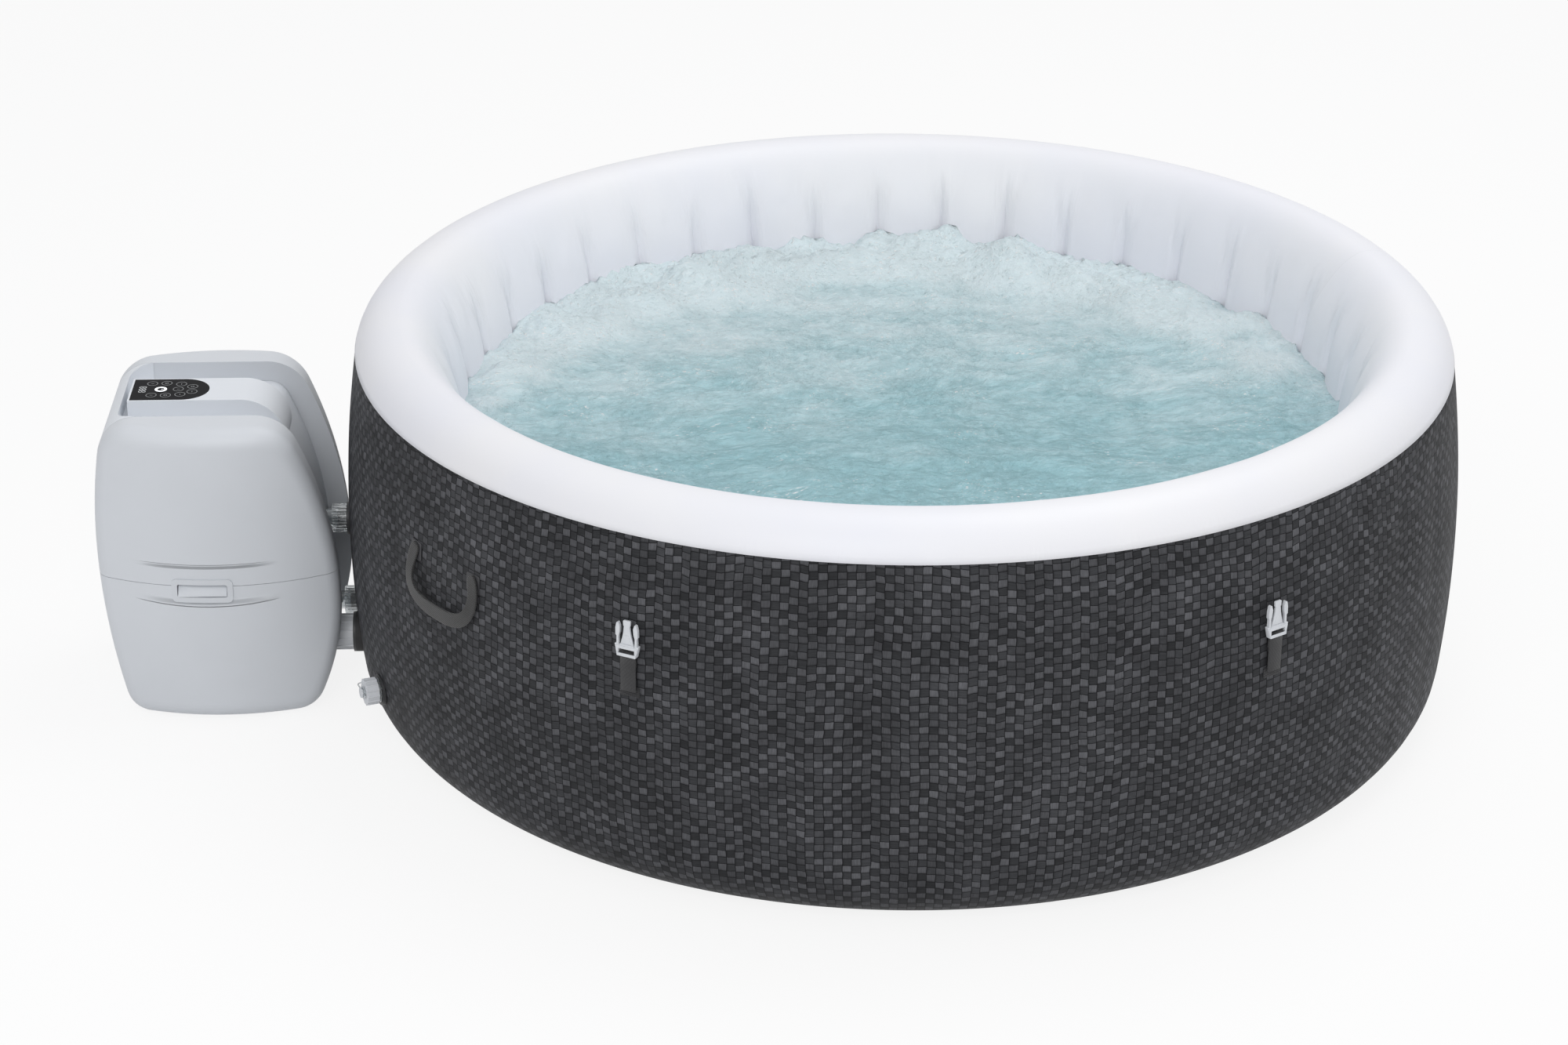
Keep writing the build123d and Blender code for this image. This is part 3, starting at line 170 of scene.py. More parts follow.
class Number:
    """A shader socket; sums and products of it add Math nodes."""

    def __init__(self, tree, socket):
        self.tree = tree
        self.socket = socket

    def math(self, operation, *values):
        node = self.tree.nodes.new("ShaderNodeMath")
        node.operation = operation
        for place, value in zip(node.inputs, values):
            feed(self.tree, place, value)
        return Number(self.tree, node.outputs[0])

    def __add__(self, other):
        return self.math("ADD", self, other)

    def __radd__(self, other):
        return self.math("ADD", other, self)

    def __sub__(self, other):
        return self.math("SUBTRACT", self, other)

    def __rsub__(self, other):
        return self.math("SUBTRACT", other, self)

    def __mul__(self, other):
        return self.math("MULTIPLY", self, other)

    def __rmul__(self, other):
        return self.math("MULTIPLY", other, self)

    def floor(self):
        return self.math("FLOOR", self)

    def fraction(self):
        return self.math("FRACT", self)

    def size(self):
        return self.math("ABSOLUTE", self)

    def above(self, limit):
        return self.math("GREATER_THAN", self, limit)

    def sine(self):
        return self.math("SINE", self)

    def between(self, low, high):
        """0 below low, 1 above high, and a smooth rise between them."""
        node = self.tree.nodes.new("ShaderNodeMapRange")
        node.interpolation_type = "SMOOTHSTEP"
        for place, value in zip(node.inputs, (self, low, high)):
            feed(self.tree, place, value)
        return Number(self.tree, node.outputs[0])


class Finish:
    """A material: its shader, and the nodes that feed it."""

    def __init__(self, name, **constants):
        self.material = bpy.data.materials.new(name)
        self.material.use_nodes = True
        self.tree = self.material.node_tree
        self.shader = self.tree.nodes["Principled BSDF"]
        for socket, value in constants.items():
            self.shader.inputs[socket.replace("_", " ")].default_value = value

    def node(self, kind, settings=None, values=None, output=0):
        """One node: its settings come first, then the values or links of its sockets."""
        node = self.tree.nodes.new(kind)
        for name, value in (settings or {}).items():
            setattr(node, name, value)
        for name, value in (values or {}).items():
            feed(self.tree, node.inputs[name], value)
        return Number(self.tree, node.outputs[output])

    def coords(self):
        """Object coordinates."""
        return self.node("ShaderNodeTexCoord", output=3)

    def place(self):
        """Object coordinates, and their three numbers."""
        coords = self.coords()
        split = self.tree.nodes.new("ShaderNodeSeparateXYZ")
        self.tree.links.new(coords.socket, split.inputs[0])
        return (coords, *(Number(self.tree, out) for out in split.outputs))

    def vector(self, x, y, z):
        return self.node("ShaderNodeCombineXYZ", values={0: x, 1: y, 2: z})

    def noise(self, vector, scale, detail=3.0, roughness=0.55):
        return self.node(
            "ShaderNodeTexNoise",
            values={"Vector": vector, "Scale": scale, "Detail": detail, "Roughness": roughness},
        )

    def white(self, vector):
        return self.node("ShaderNodeTexWhiteNoise", {"noise_dimensions": "3D"}, {"Vector": vector})

    def spots(self, vector, scale):
        """Distance to the nearest of scattered points."""
        return self.node("ShaderNodeTexVoronoi", values={"Vector": vector, "Scale": scale})

    def mix(self, factor, first, second):
        """Colour between two colours."""
        first, second = (c if isinstance(c, Number) else (*c, 1.0) for c in (first, second))
        return self.node(
            "ShaderNodeMix", {"data_type": "RGBA"}, {0: factor, 6: first, 7: second}, output=2
        )

    def set(self, socket, value):
        feed(self.tree, self.shader.inputs[socket], value)

    def surface(self, colour, roughness, relief=None, depth=0.0, strength=1.0):
        """Gives the shader its colour, roughness and relief, and returns the material."""
        self.set("Base Color", colour)
        self.set("Roughness", roughness)
        if relief is not None:
            values = {"Strength": strength, "Distance": depth, "Height": relief}
            self.set("Normal", self.node("ShaderNodeBump", values=values))
        return self.material


def printed_weave():
    """Vinyl laminate printed as a plain weave of flat strands."""
    tub = settings()
    finish = Finish("printed_weave", Specular_IOR_Level=0.10)
    coords, x, y, z = finish.place()
    # Columns and rows wander a little, and each column is set off from the next
    drift = finish.noise(coords, 5.0, 2.0) - 0.5
    ripple = finish.noise(coords, 60.0, 1.0) - 0.5
    columns = x.math("ARCTAN2", y, x) * (tub.print_columns / TURN) + drift * 0.9 + ripple * 0.22
    column = columns.floor()
    across = columns.fraction()
    jog = finish.white(finish.vector(column, 3.0, 0.0)) - 0.5
    slope = (across - 0.5) * jog * 0.35
    rows = z * (1 / tub.print_row) + drift * 2.2 + ripple * 0.25 + jog * 0.5 + slope
    row = rows.floor()
    along = rows.fraction()
    # Strands lie over and under by turns, with some out of turn, and are streaked lengthways
    chance = finish.white(finish.vector(column, row, 0.0))
    second = finish.white(finish.vector(row, column, 7.0))
    checker = ((column + row) * 0.5).fraction() * 2.0
    over = (checker + (chance - 0.5) * 0.75).between(0.3, 0.7)
    streak_up = finish.noise(finish.vector(columns * 9.0, rows * 0.8, chance * 40.0), 1.0, 2.0)
    streak_side = finish.noise(finish.vector(columns * 0.8, rows * 7.0, second * 40.0), 1.0, 2.0)
    streak = over * streak_up + (1 - over) * streak_side
    # Dark gaps between cells, a shaded edge on each cell, and slow changes of tone, partly painted
    # shade of the quilted wall
    edge_across = 0.5 - (across - 0.5).size()
    edge_along = 0.5 - (along - 0.5).size()
    solid = edge_across.between(0.0, 0.075) * edge_along.between(0.0, 0.085)
    side_shade = across.between(0.0, 0.30) * 0.35 + 0.65
    low_shade = along.between(0.0, 0.32) * 0.45 + 0.55
    depth = over * low_shade + (1 - over) * side_shade
    # Painted shade, in part: these large blotches darken the print the way the wall's quilting
    # shades it
    patches = finish.noise(coords, 14.0, 3.0).between(0.3, 0.72) * 0.35 + 0.80
    clouds = finish.noise(coords, 3.2, 2.0).between(0.28, 0.62) * 0.25 + 0.75
    bright = depth * (streak * 0.9 + 0.55) * (second * 0.60 + 0.70) * patches * clouds
    strand = finish.mix(over, tub.print_dark, tub.print_light)
    lit = finish.node(
        "ShaderNodeVectorMath", {"operation": "SCALE"}, {"Vector": strand, "Scale": bright * 1.15}
    )
    colour = finish.mix(solid, (0.0045, 0.0045, 0.0055), lit)
    relief = solid * 0.6 + over * 0.3 + streak * 0.25
    return finish.surface(colour, 0.66 - streak * 0.12, relief, 0.0006, 0.55)


def soft_vinyl(name, colour, tint=0.05, grain=1.0):
    """Plain laminated vinyl with a fine grain and soft unevenness."""
    finish = Finish(name, Specular_IOR_Level=0.4)
    coords = finish.coords()
    clouds = finish.noise(coords, 3.5, 3.0).between(0.25, 0.75)
    fine = finish.noise(coords, 900.0, 2.0)
    pores = finish.noise(coords, 140.0, 3.0)
    base = finish.mix(clouds, shade(colour, (1 - tint, 1 - tint * 0.7, 1.0)), colour)
    relief = fine * 0.5 * grain + pores * 0.5
    return finish.surface(base, 0.38 + fine * 0.12 + clouds * 0.06, relief, 0.0004, 0.25)


def rim_vinyl():
    """White rim vinyl with one thin weld across it, and painted bluish shade and damp beads on the
    inner slope.
    """
    colour = tuple(settings().vinyl_colour)
    finish = Finish("rim_vinyl", Specular_IOR_Level=0.42)
    coords, x, y, z = finish.place()
    clouds = finish.noise(coords, 3.0, 3.0).between(0.25, 0.75)
    fine = finish.noise(coords, 1000.0, 2.0)
    pores = finish.noise(coords, 160.0, 3.0)
    angle = x.math("ARCTAN2", y, x)
    weld_line = (angle - 0.30 + (z - 0.5) * 0.35).size()
    weld = (1 - weld_line.between(0.0, 0.0016)) * z.above(0.5)
    slope = 1 - z.between(0.47, 0.60)
    base = finish.mix(clouds, shade(colour, (0.955, 0.965, 1.0)), colour)
    # Painted shade: the inner slope turns darker and bluer towards the water
    base = finish.mix(slope * 0.35, base, shade(colour, (0.92, 0.93, 1.0)))
    base = finish.mix(weld * 0.3, base, shade(colour, 0.78))
    # Small gathers beside each beam, as far as the pinch reaches
    steps = angle * (BEAM_COUNT / TURN)
    beam = finish.node("ShaderNodeMath", {"operation": "PINGPONG"}, {0: steps, 1: 0.5})
    gathers = finish.noise(finish.vector(angle * 95.0, z * 11.0, 0.0), 1.0, 4.0, 0.6)
    pinch = (1 - beam.between(0.0, 0.30)) * z.between(0.44, 0.52) * (1 - z.between(0.56, 0.625))
    beads = 1 - finish.spots(coords, 420.0).between(0.12, 0.30)
    damp = beads * finish.noise(coords, 30.0).between(0.5, 0.7) * slope
    relief = fine * 0.15 + pores * 0.2 + weld * 0.6 + damp * 0.6 + gathers * pinch * 9.0
    return finish.surface(base, 0.42 + fine * 0.1 - damp * 0.25, relief, 0.0008, 0.45)


def moulded_plastic(name, colour, rough=0.42):
    """Injection-moulded plastic with a spark-eroded grain and faint flow marks."""
    finish = Finish(name, Specular_IOR_Level=0.45)
    coords = finish.coords()
    flow = finish.noise(coords, 6.0, 3.0).between(0.25, 0.75)
    grit = finish.noise(coords, 2200.0, 1.0)
    scuff = finish.noise(coords, 55.0, 4.0, 0.65).between(0.60, 0.78)
    base = finish.mix(flow, shade(colour, 0.965), colour)
    base = finish.mix(scuff * 0.12, base, shade(colour, 0.9))
    return finish.surface(base, rough + grit * 0.1 + scuff * 0.08, grit, 0.00012, 0.35)


def casing_plastic(colour):
    """Casing plastic with a raised and a sunk moulding line across the front and back."""
    line_middle = PUMP_X - 0.015
    line_reach = 0.120
    face_distance = 0.13
    raised_height = 0.2845
    sunk_height = 0.2120
    finish = Finish("casing_plastic", Specular_IOR_Level=0.45)
    coords, x, y, z = finish.place()
    flow = finish.noise(coords, 6.0, 3.0).between(0.25, 0.75)
    grit = finish.noise(coords, 2200.0, 1.0)
    base = finish.mix(flow, shade(colour, 0.97), colour)
    along = (x - line_middle) * (1 / line_reach)
    arch = along * along
    shown = y.size().above(face_distance) * (1 - along.size().between(0.45, 1.0))
    upper = z - raised_height - arch * 0.002
    raised = upper.between(-0.0070, -0.0005) * (1 - upper.between(0.0, 0.0016))
    lower = z - sunk_height - arch * 0.009
    sunk = lower.between(-0.0012, 0.0006) * (1 - lower.between(0.0010, 0.0120))
    relief = (raised * 5.0 + sunk * 9.0) * shown + grit * 0.06
    return finish.surface(base, 0.42 + grit * 0.1, relief, 0.0020, 0.8)


def clear_plastic():
    """Clear polycarbonate, tinted grey as painted shade for the dark reflections it shows."""
    finish = Finish("clear_plastic", Transmission_Weight=0.88, IOR=1.49, Specular_IOR_Level=0.5)
    cloud = finish.noise(finish.coords(), 90.0, 3.0)
    # Painted shade: the grey tint stands in for dark reflections
    base = finish.mix(cloud, (0.62, 0.65, 0.67), (0.84, 0.87, 0.88))
    return finish.surface(base, 0.04 + cloud * 0.06)


def woven_webbing(name, colour, pitch=0.0016):
    """Polypropylene webbing: close ribs across the band and a fine yarn."""
    finish = Finish(name, Specular_IOR_Level=0.3, Sheen_Weight=0.25)
    coords, _, _, z = finish.place()
    yarn = finish.noise(coords, 1500.0, 2.0)
    wobble = finish.noise(coords, 120.0, 2.0) * 0.6
    ribs = (z * (TURN / pitch) + wobble).sine() * 0.5 + 0.5
    fade = finish.noise(coords, 35.0, 3.0).between(0.3, 0.8)
    # Paler on the rib crests, in faded patches and along the yarn
    paler_tone = tuple(c * 2.6 + 0.012 for c in colour)
    base = finish.mix(ribs * 0.55 + fade * 0.25 + yarn * 0.15, colour, paler_tone)
    return finish.surface(base, 0.78 - ribs * 0.18, ribs + yarn * 0.4, 0.0005, 0.8)


def plain_cloth(name, colour):
    """Fine plain cloth or pleated paper."""
    threads = 1200.0
    finish = Finish(name, Specular_IOR_Level=0.25, Sheen_Weight=0.15)
    coords, x, _, z = finish.place()
    weave = (x * threads).sine() * (z * threads).sine() * 0.5 + 0.5
    stain = finish.noise(coords, 25.0, 3.0)
    base = finish.mix(stain * 0.5 + weave * 0.3, colour, shade(colour, 0.8))
    return finish.surface(base, 0.8 - weave * 0.1, weave, 0.0003, 0.5)


def dull_rubber(name):
    """Soft black rubber with a bloom."""
    colour = (0.025, 0.025, 0.026)
    finish = Finish(name, Specular_IOR_Level=0.35)
    coords = finish.coords()
    bloom = finish.noise(coords, 40.0, 4.0, 0.6)
    pit = finish.noise(coords, 1400.0, 1.0)
    base = finish.mix(bloom, colour, shade(colour, 1.9))
    return finish.surface(base, 0.6 + bloom * 0.2, pit, 0.00015, 0.4)


def worked_metal(name, colour, rough, metallic=1.0):
    """Turned or painted metal with lengthways marks."""
    finish = Finish(name, Specular_IOR_Level=0.5)
    coords, x, y, z = finish.place()
    marks = finish.noise(finish.vector(x * 30.0, y * 30.0, z * 900.0), 1.0, 2.0)
    dull = finish.noise(coords, 30.0, 3.0)
    finish.set("Metallic", metallic - dull * 0.1)
    base = finish.mix(dull, colour, shade(colour, 0.8))
    return finish.surface(base, rough + marks * 0.15, marks, 0.0001, 0.3)


def panel_gloss():
    """Black back-printed panel under a clear glossy face."""
    finish = Finish("panel_gloss", Specular_IOR_Level=0.02)
    smear = finish.noise(finish.coords(), 45.0, 3.0, 0.6)
    base = finish.mix(smear, (0.005, 0.005, 0.006), (0.010, 0.010, 0.012))
    return finish.surface(base, 0.10 + smear * 0.14)


def panel_ink(name, colour, glow):
    """Printed or lit mark under the panel's face."""
    finish = Finish(name, Specular_IOR_Level=0.3, Emission_Strength=glow)
    dots = finish.noise(finish.coords(), 1500.0, 1.0)
    tone = finish.mix(dots, colour, shade(colour, 0.85))
    finish.set("Emission Color", tone)
    return finish.surface(tone, 0.3 + dots * 0.1)


def bubbling_water():
    """Aerated water: pale turquoise under drifting froth, with painted sparkle highlights on the
    bubbles.
    """
    tub = settings()
    finish = Finish("bubbling_water", IOR=1.33, Specular_IOR_Level=0.5)
    coords, x, y, z = finish.place()
    swirl = finish.noise(coords, 2.6, 2.0) - 0.5
    shift = finish.vector(x + swirl * 0.30, y * 1.5 + swirl * 0.20, z)
    broad = finish.noise(shift, 4.5, 6.0, 0.65)
    churn = finish.noise(shift, 22.0, 8.0, 0.75)
    lace = finish.noise(shift, 80.0, 6.0, 0.75)
    # Froth lies thickest on the high water and along the far side
    height = (z - tub.water_level).between(-0.002, 0.040)
    far = (y * 0.80 + (x - 0.05).size() * 0.25).between(-0.35, 0.55)
    froth = (broad * 0.75 + churn * 0.45 + far * 0.50 + height * 0.45 - 0.62).between(0.0, 0.75)
    veil = (churn * 0.6 + lace * 0.4).between(0.38, 0.62)
    body = finish.mix(veil, shade(tub.water_colour, 0.74), tub.water_colour)
    body = finish.mix(froth * 0.85, body, tub.foam_colour)
    dark = (1 - lace.between(0.30, 0.44)) * (1 - froth * 0.55)
    body = finish.mix(dark * 0.60, body, shade(tub.water_colour, 0.66))
    flecks = lace.between(0.55, 0.66) * (froth * 0.7 + 0.25)
    body = finish.mix(flecks * 0.65, body, (0.88, 0.95, 0.97))
    # Painted sparkle highlights: pure white points on small and large bubbles, in clusters
    bead = 1 - finish.spots(shift, 125.0).between(0.16, 0.34)
    big = 1 - finish.spots(shift, 60.0).between(0.10, 0.24)
    cluster = finish.noise(shift, 7.0, 6.0, 0.7).between(0.50, 0.66)
    glints = (bead * (cluster + froth * 0.5) + big * cluster) * lace.between(0.44, 0.58)
    body = finish.mix(glints.math("MINIMUM", glints, 1.0), body, (1.0, 1.0, 1.0))
    relief = churn * 0.6 + lace * 0.5 + bead * 0.12 + big * 0.10
    return finish.surface(body, 0.14 + froth * 0.30, relief, 0.012, 0.9)


# --- Making pieces ---
def piece_from(bm, name, body, material, nodes=(), sharp=40):
    """Turns a bmesh into a finished piece that rides on a body and stands for CAD nodes."""
    mesh = bpy.data.meshes.new(name)
    bm.to_mesh(mesh)
    bm.free()
    mesh.shade_smooth()
    mesh.set_sharp_from_angle(angle=math.radians(sharp))
    mesh.materials.append(material)
    piece = bpy.data.objects.new(name, mesh)
    bpy.context.scene.collection.objects.link(piece)
    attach(piece, body)
    if nodes:
        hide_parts(*nodes)
    return piece


def dress(names, material):
    """Gives CAD nodes a finish."""
    for name in names:
        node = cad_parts[name]
        node.data.materials.clear()
        node.data.materials.append(material)


def lathe(points, steps, closed=True):
    """Spins a line of (radius, height) points about the Z axis."""
    bm = bmesh.new()
    verts = [bm.verts.new((radius, 0.0, height)) for radius, height in points]
    pairs = list(zip(verts, verts[1:]))
    if closed:
        pairs.append((verts[-1], verts[0]))
    edges = [bm.edges.new(pair) for pair in pairs]
    bmesh.ops.spin(
        bm, geom=verts + edges, cent=(0, 0, 0), axis=(0, 0, 1), angle=TURN, steps=steps,
        use_merge=True,
    )
    bmesh.ops.remove_doubles(bm, verts=bm.verts, dist=1e-6)
    bmesh.ops.recalc_face_normals(bm, faces=bm.faces)
    return bm


def arc(centre, radius, first, last, count):
    """Points on a circle from one angle to another."""
    angles = [first + (last - first) * n / count for n in range(count + 1)]
    return [(centre[0] + radius * math.cos(a), centre[1] + radius * math.sin(a)) for a in angles]


def tangent_arc(start, end, tangent, count):
    """Points on the arc that leaves start along tangent and reaches end."""
    chord = Vector(end) - Vector(start)
    along = Vector(tangent).normalized()
    side = Vector((-along.y, along.x))
    radius = chord.length_squared / (2 * chord.dot(side))
    spoke = side * -radius
    first = math.atan2(spoke.y, spoke.x)
    sweep = 2 * math.atan2(chord.dot(side), chord.dot(along))
    return arc(Vector(start) - spoke, abs(radius), first, first + sweep, count)


def from_beam(vert):
    """The beam nearest to a vertex, and how far off it is in beam steps, -0.5 to 0.5."""
    place = math.atan2(vert.co.y, vert.co.x) / (TURN / BEAM_COUNT)
    beam = round(place)
    return beam % BEAM_COUNT, place - beam


def gather_steps(bm):
    """Moves the spokes of a full spin closer together at the beams."""
    for vert in bm.verts:
        radius = math.hypot(vert.co.x, vert.co.y)
        beam, off = from_beam(vert)
        angle = (beam + math.copysign(abs(2 * off) ** 1.7, off) / 2) * TURN / BEAM_COUNT
        vert.co.xy = (radius * math.cos(angle), radius * math.sin(angle))


def push_out(vert, distance):
    """Moves a vertex away from the Z axis."""
    radius = math.hypot(vert.co.x, vert.co.y)
    vert.co.xy = vert.co.xy * ((radius + distance) / radius)


def smooth(share):
    """0 below 0, 1 above 1, and a smooth rise between them."""
    share = max(0.0, min(1.0, share))
    return share * share * (3 - 2 * share)


def hump(off, width):
    """1 at the middle, fading over a width to either side."""
    return math.exp(-((off / width) ** 2))


def lumpy(x, y, z, scale):
    """Smooth noise at a point, -1 to 1."""
    return noise.noise(Vector((x * scale[0], y * scale[1], z * scale[2])))


def shell(piece, thickness):
    """Gives a sheet its thickness, on its inner side."""
    skin = piece.modifiers.new("thickness", "SOLIDIFY")
    skin.thickness = thickness
    skin.offset = -1.0


def facing(azimuth, distance, height):
    """Places local x along the wall, y up and z outward at a spot on the tub's side."""
    turn = math.radians(azimuth)
    out = Vector((math.sin(turn), -math.cos(turn), 0))
    along = Vector((math.cos(turn), math.sin(turn), 0))
    up = Vector((0, 0, 1))
    matrix = Matrix((along, up, out)).transposed().to_4x4()
    matrix.translation = out * distance + up * height
    return matrix


def on_wall(azimuth, height):
    """A place on the side wall as facing gives it, but leaning with the wall, just off its skin."""
    lean = math.asin((height - BULGE_HEIGHT) / SIDE_CURVE)
    place = facing(azimuth, wall_radius(height) + SKIN_GAP, height)
    return place @ Matrix.Rotation(-lean, 4, "X")


def soften(bm, geom, offset, segments=2, affect="EDGES"):
    """Rounds edges or corners."""
    bmesh.ops.bevel(
        bm, geom=geom, offset=offset, segments=segments, profile=0.5, material=-1, affect=affect
    )


def draw_up(bm, height):
    """Extrudes all faces along the local z axis."""
    grown = bmesh.ops.extrude_face_region(bm, geom=list(bm.faces))
    top = [v for v in grown["geom"] if isinstance(v, bmesh.types.BMVert)]
    bmesh.ops.translate(bm, verts=top, vec=(0, 0, height))
    bmesh.ops.recalc_face_normals(bm, faces=bm.faces)


def flat_shape(outline, depth, bevel):
    """Plate with a straight-sided outline, its face up the local z axis."""
    bm = bmesh.new()
    bm.faces.new([bm.verts.new((x, y, 0)) for x, y in outline])
    draw_up(bm, depth)
    soften(bm, list(bm.edges), bevel)
    return bm


def mirrored(half):
    """Outline from its right half."""
    return half + [(-x, y) for x, y in reversed(half)]


def join(parts):
    """One bmesh from several, with each part's own place."""
    whole = bmesh.new()
    for bm, matrix in parts:
        bm.transform(matrix)
        mesh = bpy.data.meshes.new("part")
        bm.to_mesh(mesh)
        bm.free()
        whole.from_mesh(mesh)
        bpy.data.meshes.remove(mesh)
    return whole


def band(stations, thickness):
    """Flat band through stations, each the (middle, across, out, width) of its line."""
    bm = bmesh.new()
    rings = []
    half = thickness / 2
    cut = half * 0.35
    for middle, across, out, width in stations:
        wide = width / 2
        profile = (
            (-wide, -half + cut), (-wide + cut, -half), (0, -half), (wide - cut, -half),
            (wide, -half + cut), (wide, half - cut), (wide - cut, half), (0, half),
            (-wide + cut, half), (-wide, half - cut),
        )
        rings.append([bm.verts.new(middle + across * a + out * b) for a, b in profile])
    loops = [[bm.edges.new(pair) for pair in zip(ring, ring[1:] + ring[:1])] for ring in rings]
    for first, second in zip(loops, loops[1:]):
        bmesh.ops.bridge_loops(bm, edges=first + second)
    for loop in (loops[0], loops[-1]):
        bmesh.ops.holes_fill(bm, edges=loop)
    bmesh.ops.recalc_face_normals(bm, faces=bm.faces)
    return bm


# --- Tub ---
def side_points(count):
    """The side wall's curve, from its foot up to the seam."""
    low, high = (math.asin((h - BULGE_HEIGHT) / SIDE_CURVE) for h in (FOOT_HEIGHT, SEAM_HEIGHT))
    return arc((BULGE_RADIUS - SIDE_CURVE, BULGE_HEIGHT), SIDE_CURVE, low, high, count)


class HOTTUB_OT_side_wall(bpy.types.Operator):
    """Side wall in printed vinyl, drawn in slightly where the beams hold it"""

    bl_idname = "hot_tub.side_wall"
    bl_label = "Side wall"

    def execute(self, context):
        wall_rows, foot_rows, spokes = 42, 14, 16
        side = side_points(wall_rows)
        lean = (side[0][0] - side[1][0], side[0][1] - side[1][1])
        foot = tangent_arc(side[0], (BASE_RADIUS, 0.0), lean, foot_rows)
        bm = lathe(list(reversed(foot[1:])) + side, spokes * BEAM_COUNT, closed=False)
        gather_steps(bm)
        for vert in bm.verts:
            x, y, height = vert.co
            _, off = from_beam(vert)
            # The wall is free between its foot and its seam
            free = max(0.0, min(1.0, (height - 0.04) / 0.10, (0.590 - height) / 0.06))
            dimple = 0.0011 * hump(off, BEAM_PINCH)
            sway = 0.0009 * abs(lumpy(x, y, height, (3.0, 3.0, 4.0)))
            push_out(vert, -(dimple + sway) * free)
        piece = piece_from(
            bm, "side_wall_cover", "tub", printed_weave(), ["outer_wall"], sharp=80
        )
        shell(piece, VINYL_THICKNESS)
        return {"FINISHED"}


class HOTTUB_OT_rim(bpy.types.Operator):
    """Padded rim that rolls over into the tub and gathers at the beams"""

    bl_idname = "hot_tub.rim"
    bl_label = "Rim"

    def execute(self, context):
        rise = TUB_HEIGHT - LIP_HEIGHT
        reach = CREST_RADIUS - INNER_RADIUS
        rows, outer_rows, spokes = 38, 9, 20
        fold_reach = 0.105
        valley_depth, valley_width = 0.0105, 0.085
        ridge_height, ridge_width, ridge_place = 0.0034, 0.05, 0.10
        fan = ((0.0030, -0.22), (0.0024, 0.16), (0.0018, 0.30))
        fan_width = 0.030
        pillow_height = 0.0060
        turns = [math.pi / 2 * n / rows for n in range(1, rows + 1)]
        inside = [
            (CREST_RADIUS - reach * math.sin(turn), LIP_HEIGHT + rise * math.cos(turn))
            for turn in turns
        ]
        seam = (SEAM_RADIUS + 0.0006, SEAM_HEIGHT)
        outside = tangent_arc((CREST_RADIUS, TUB_HEIGHT), seam, (1, 0), outer_rows)
        bm = lathe(list(reversed(outside)) + inside, spokes * BEAM_COUNT, closed=False)
        gather_steps(bm)
        rng = random.Random(11)
        # For each beam: where its fold starts, its lean, its depth and the side it turns to
        folds = [
            (
                rng.uniform(0.600, 0.636), rng.uniform(-0.16, 0.16), rng.uniform(0.8, 1.25),
                rng.choice((-1, 1)),
            )
            for _ in range(BEAM_COUNT)
        ]
        for vert in bm.verts:
            x, y, height = vert.co
            slope = CREST_RADIUS - math.hypot(x, y)
            if slope < 0.002:
                continue
            beam, off = from_beam(vert)
            start, lean, depth, turn = folds[beam]
            drop = (start - height) / fold_reach
            fade = smooth(drop)
            # A valley along the beam, a ridge beside it and a fan of wrinkles above it
            line = off + lean * (1 - fade) ** 2
            valley = valley_depth * fade * depth * math.exp(-abs(line) / valley_width)
            ridge = ridge_height * fade * hump(line - ridge_place * turn, ridge_width)
            rays = 0.0
            for ray_height, spread in fan:
                ray = off - spread * turn * (0.35 + 0.65 * (1 - fade))
                rays += ray_height * hump(ray, fan_width)
            rays *= smooth(drop + 0.35) * (1 - 0.75 * smooth(drop - 0.55))
            # The vinyl swells between beams, and is nowhere quite even
            pillow = pillow_height * fade * math.sin(math.pi * abs(off))
            soft = 0.0024 * lumpy(x, y, height, (9.0, 9.0, 5.0)) * min(1.0, slope / 0.05)
            crumple = 0.0016 * fade * lumpy(x, y, height, (34.0, 34.0, 9.0))
            soft += crumple * math.exp(-abs(off) / 0.2)
            push_out(vert, valley + rays - ridge - pillow + soft)
        piece = piece_from(
            bm, "rim_cover", "tub", rim_vinyl(), ["top_ring"], sharp=80
        )
        shell(piece, VINYL_THICKNESS)
        return {"FINISHED"}


class HOTTUB_OT_liner(bpy.types.Operator):
    """Pleated inner wall, floor, and the fittings inside the tub"""

    bl_idname = "hot_tub.liner"
    bl_label = "Liner"

    def execute(self, context):
        white = tuple(settings().vinyl_colour)
        bottom = 0.002
        rows, spokes = 10, 16
        heights = [LIP_HEIGHT + 0.002]
        heights += [LIP_HEIGHT - (LIP_HEIGHT - bottom) * n / rows for n in range(1, rows + 1)]
        bm = lathe([(INNER_RADIUS, h) for h in heights], spokes * BEAM_COUNT, closed=False)
        gather_steps(bm)
        for vert in bm.verts:
            _, off = from_beam(vert)
            push_out(vert, PLEAT_DEPTH * hump(off, BEAM_PINCH) + 0.0008)
        piece = piece_from(
            bm, "inner_wall_cover", "tub", soft_vinyl("liner_vinyl", white),
            ["inner_wall"], sharp=80,
        )
        shell(piece, -VINYL_THICKNESS)
        dress(["bubble_ring"], soft_vinyl("ring_vinyl", white))
        dress(["floor_liner"], soft_vinyl("floor_foam", (0.55, 0.76, 0.80), tint=0.12))
        dress(["base_sheet"], soft_vinyl("base_vinyl", (0.20, 0.205, 0.215), grain=2.0))
        dress(["chamber_beams"], plain_cloth("beam_mesh", (0.72, 0.73, 0.75)))
        return {"FINISHED"}


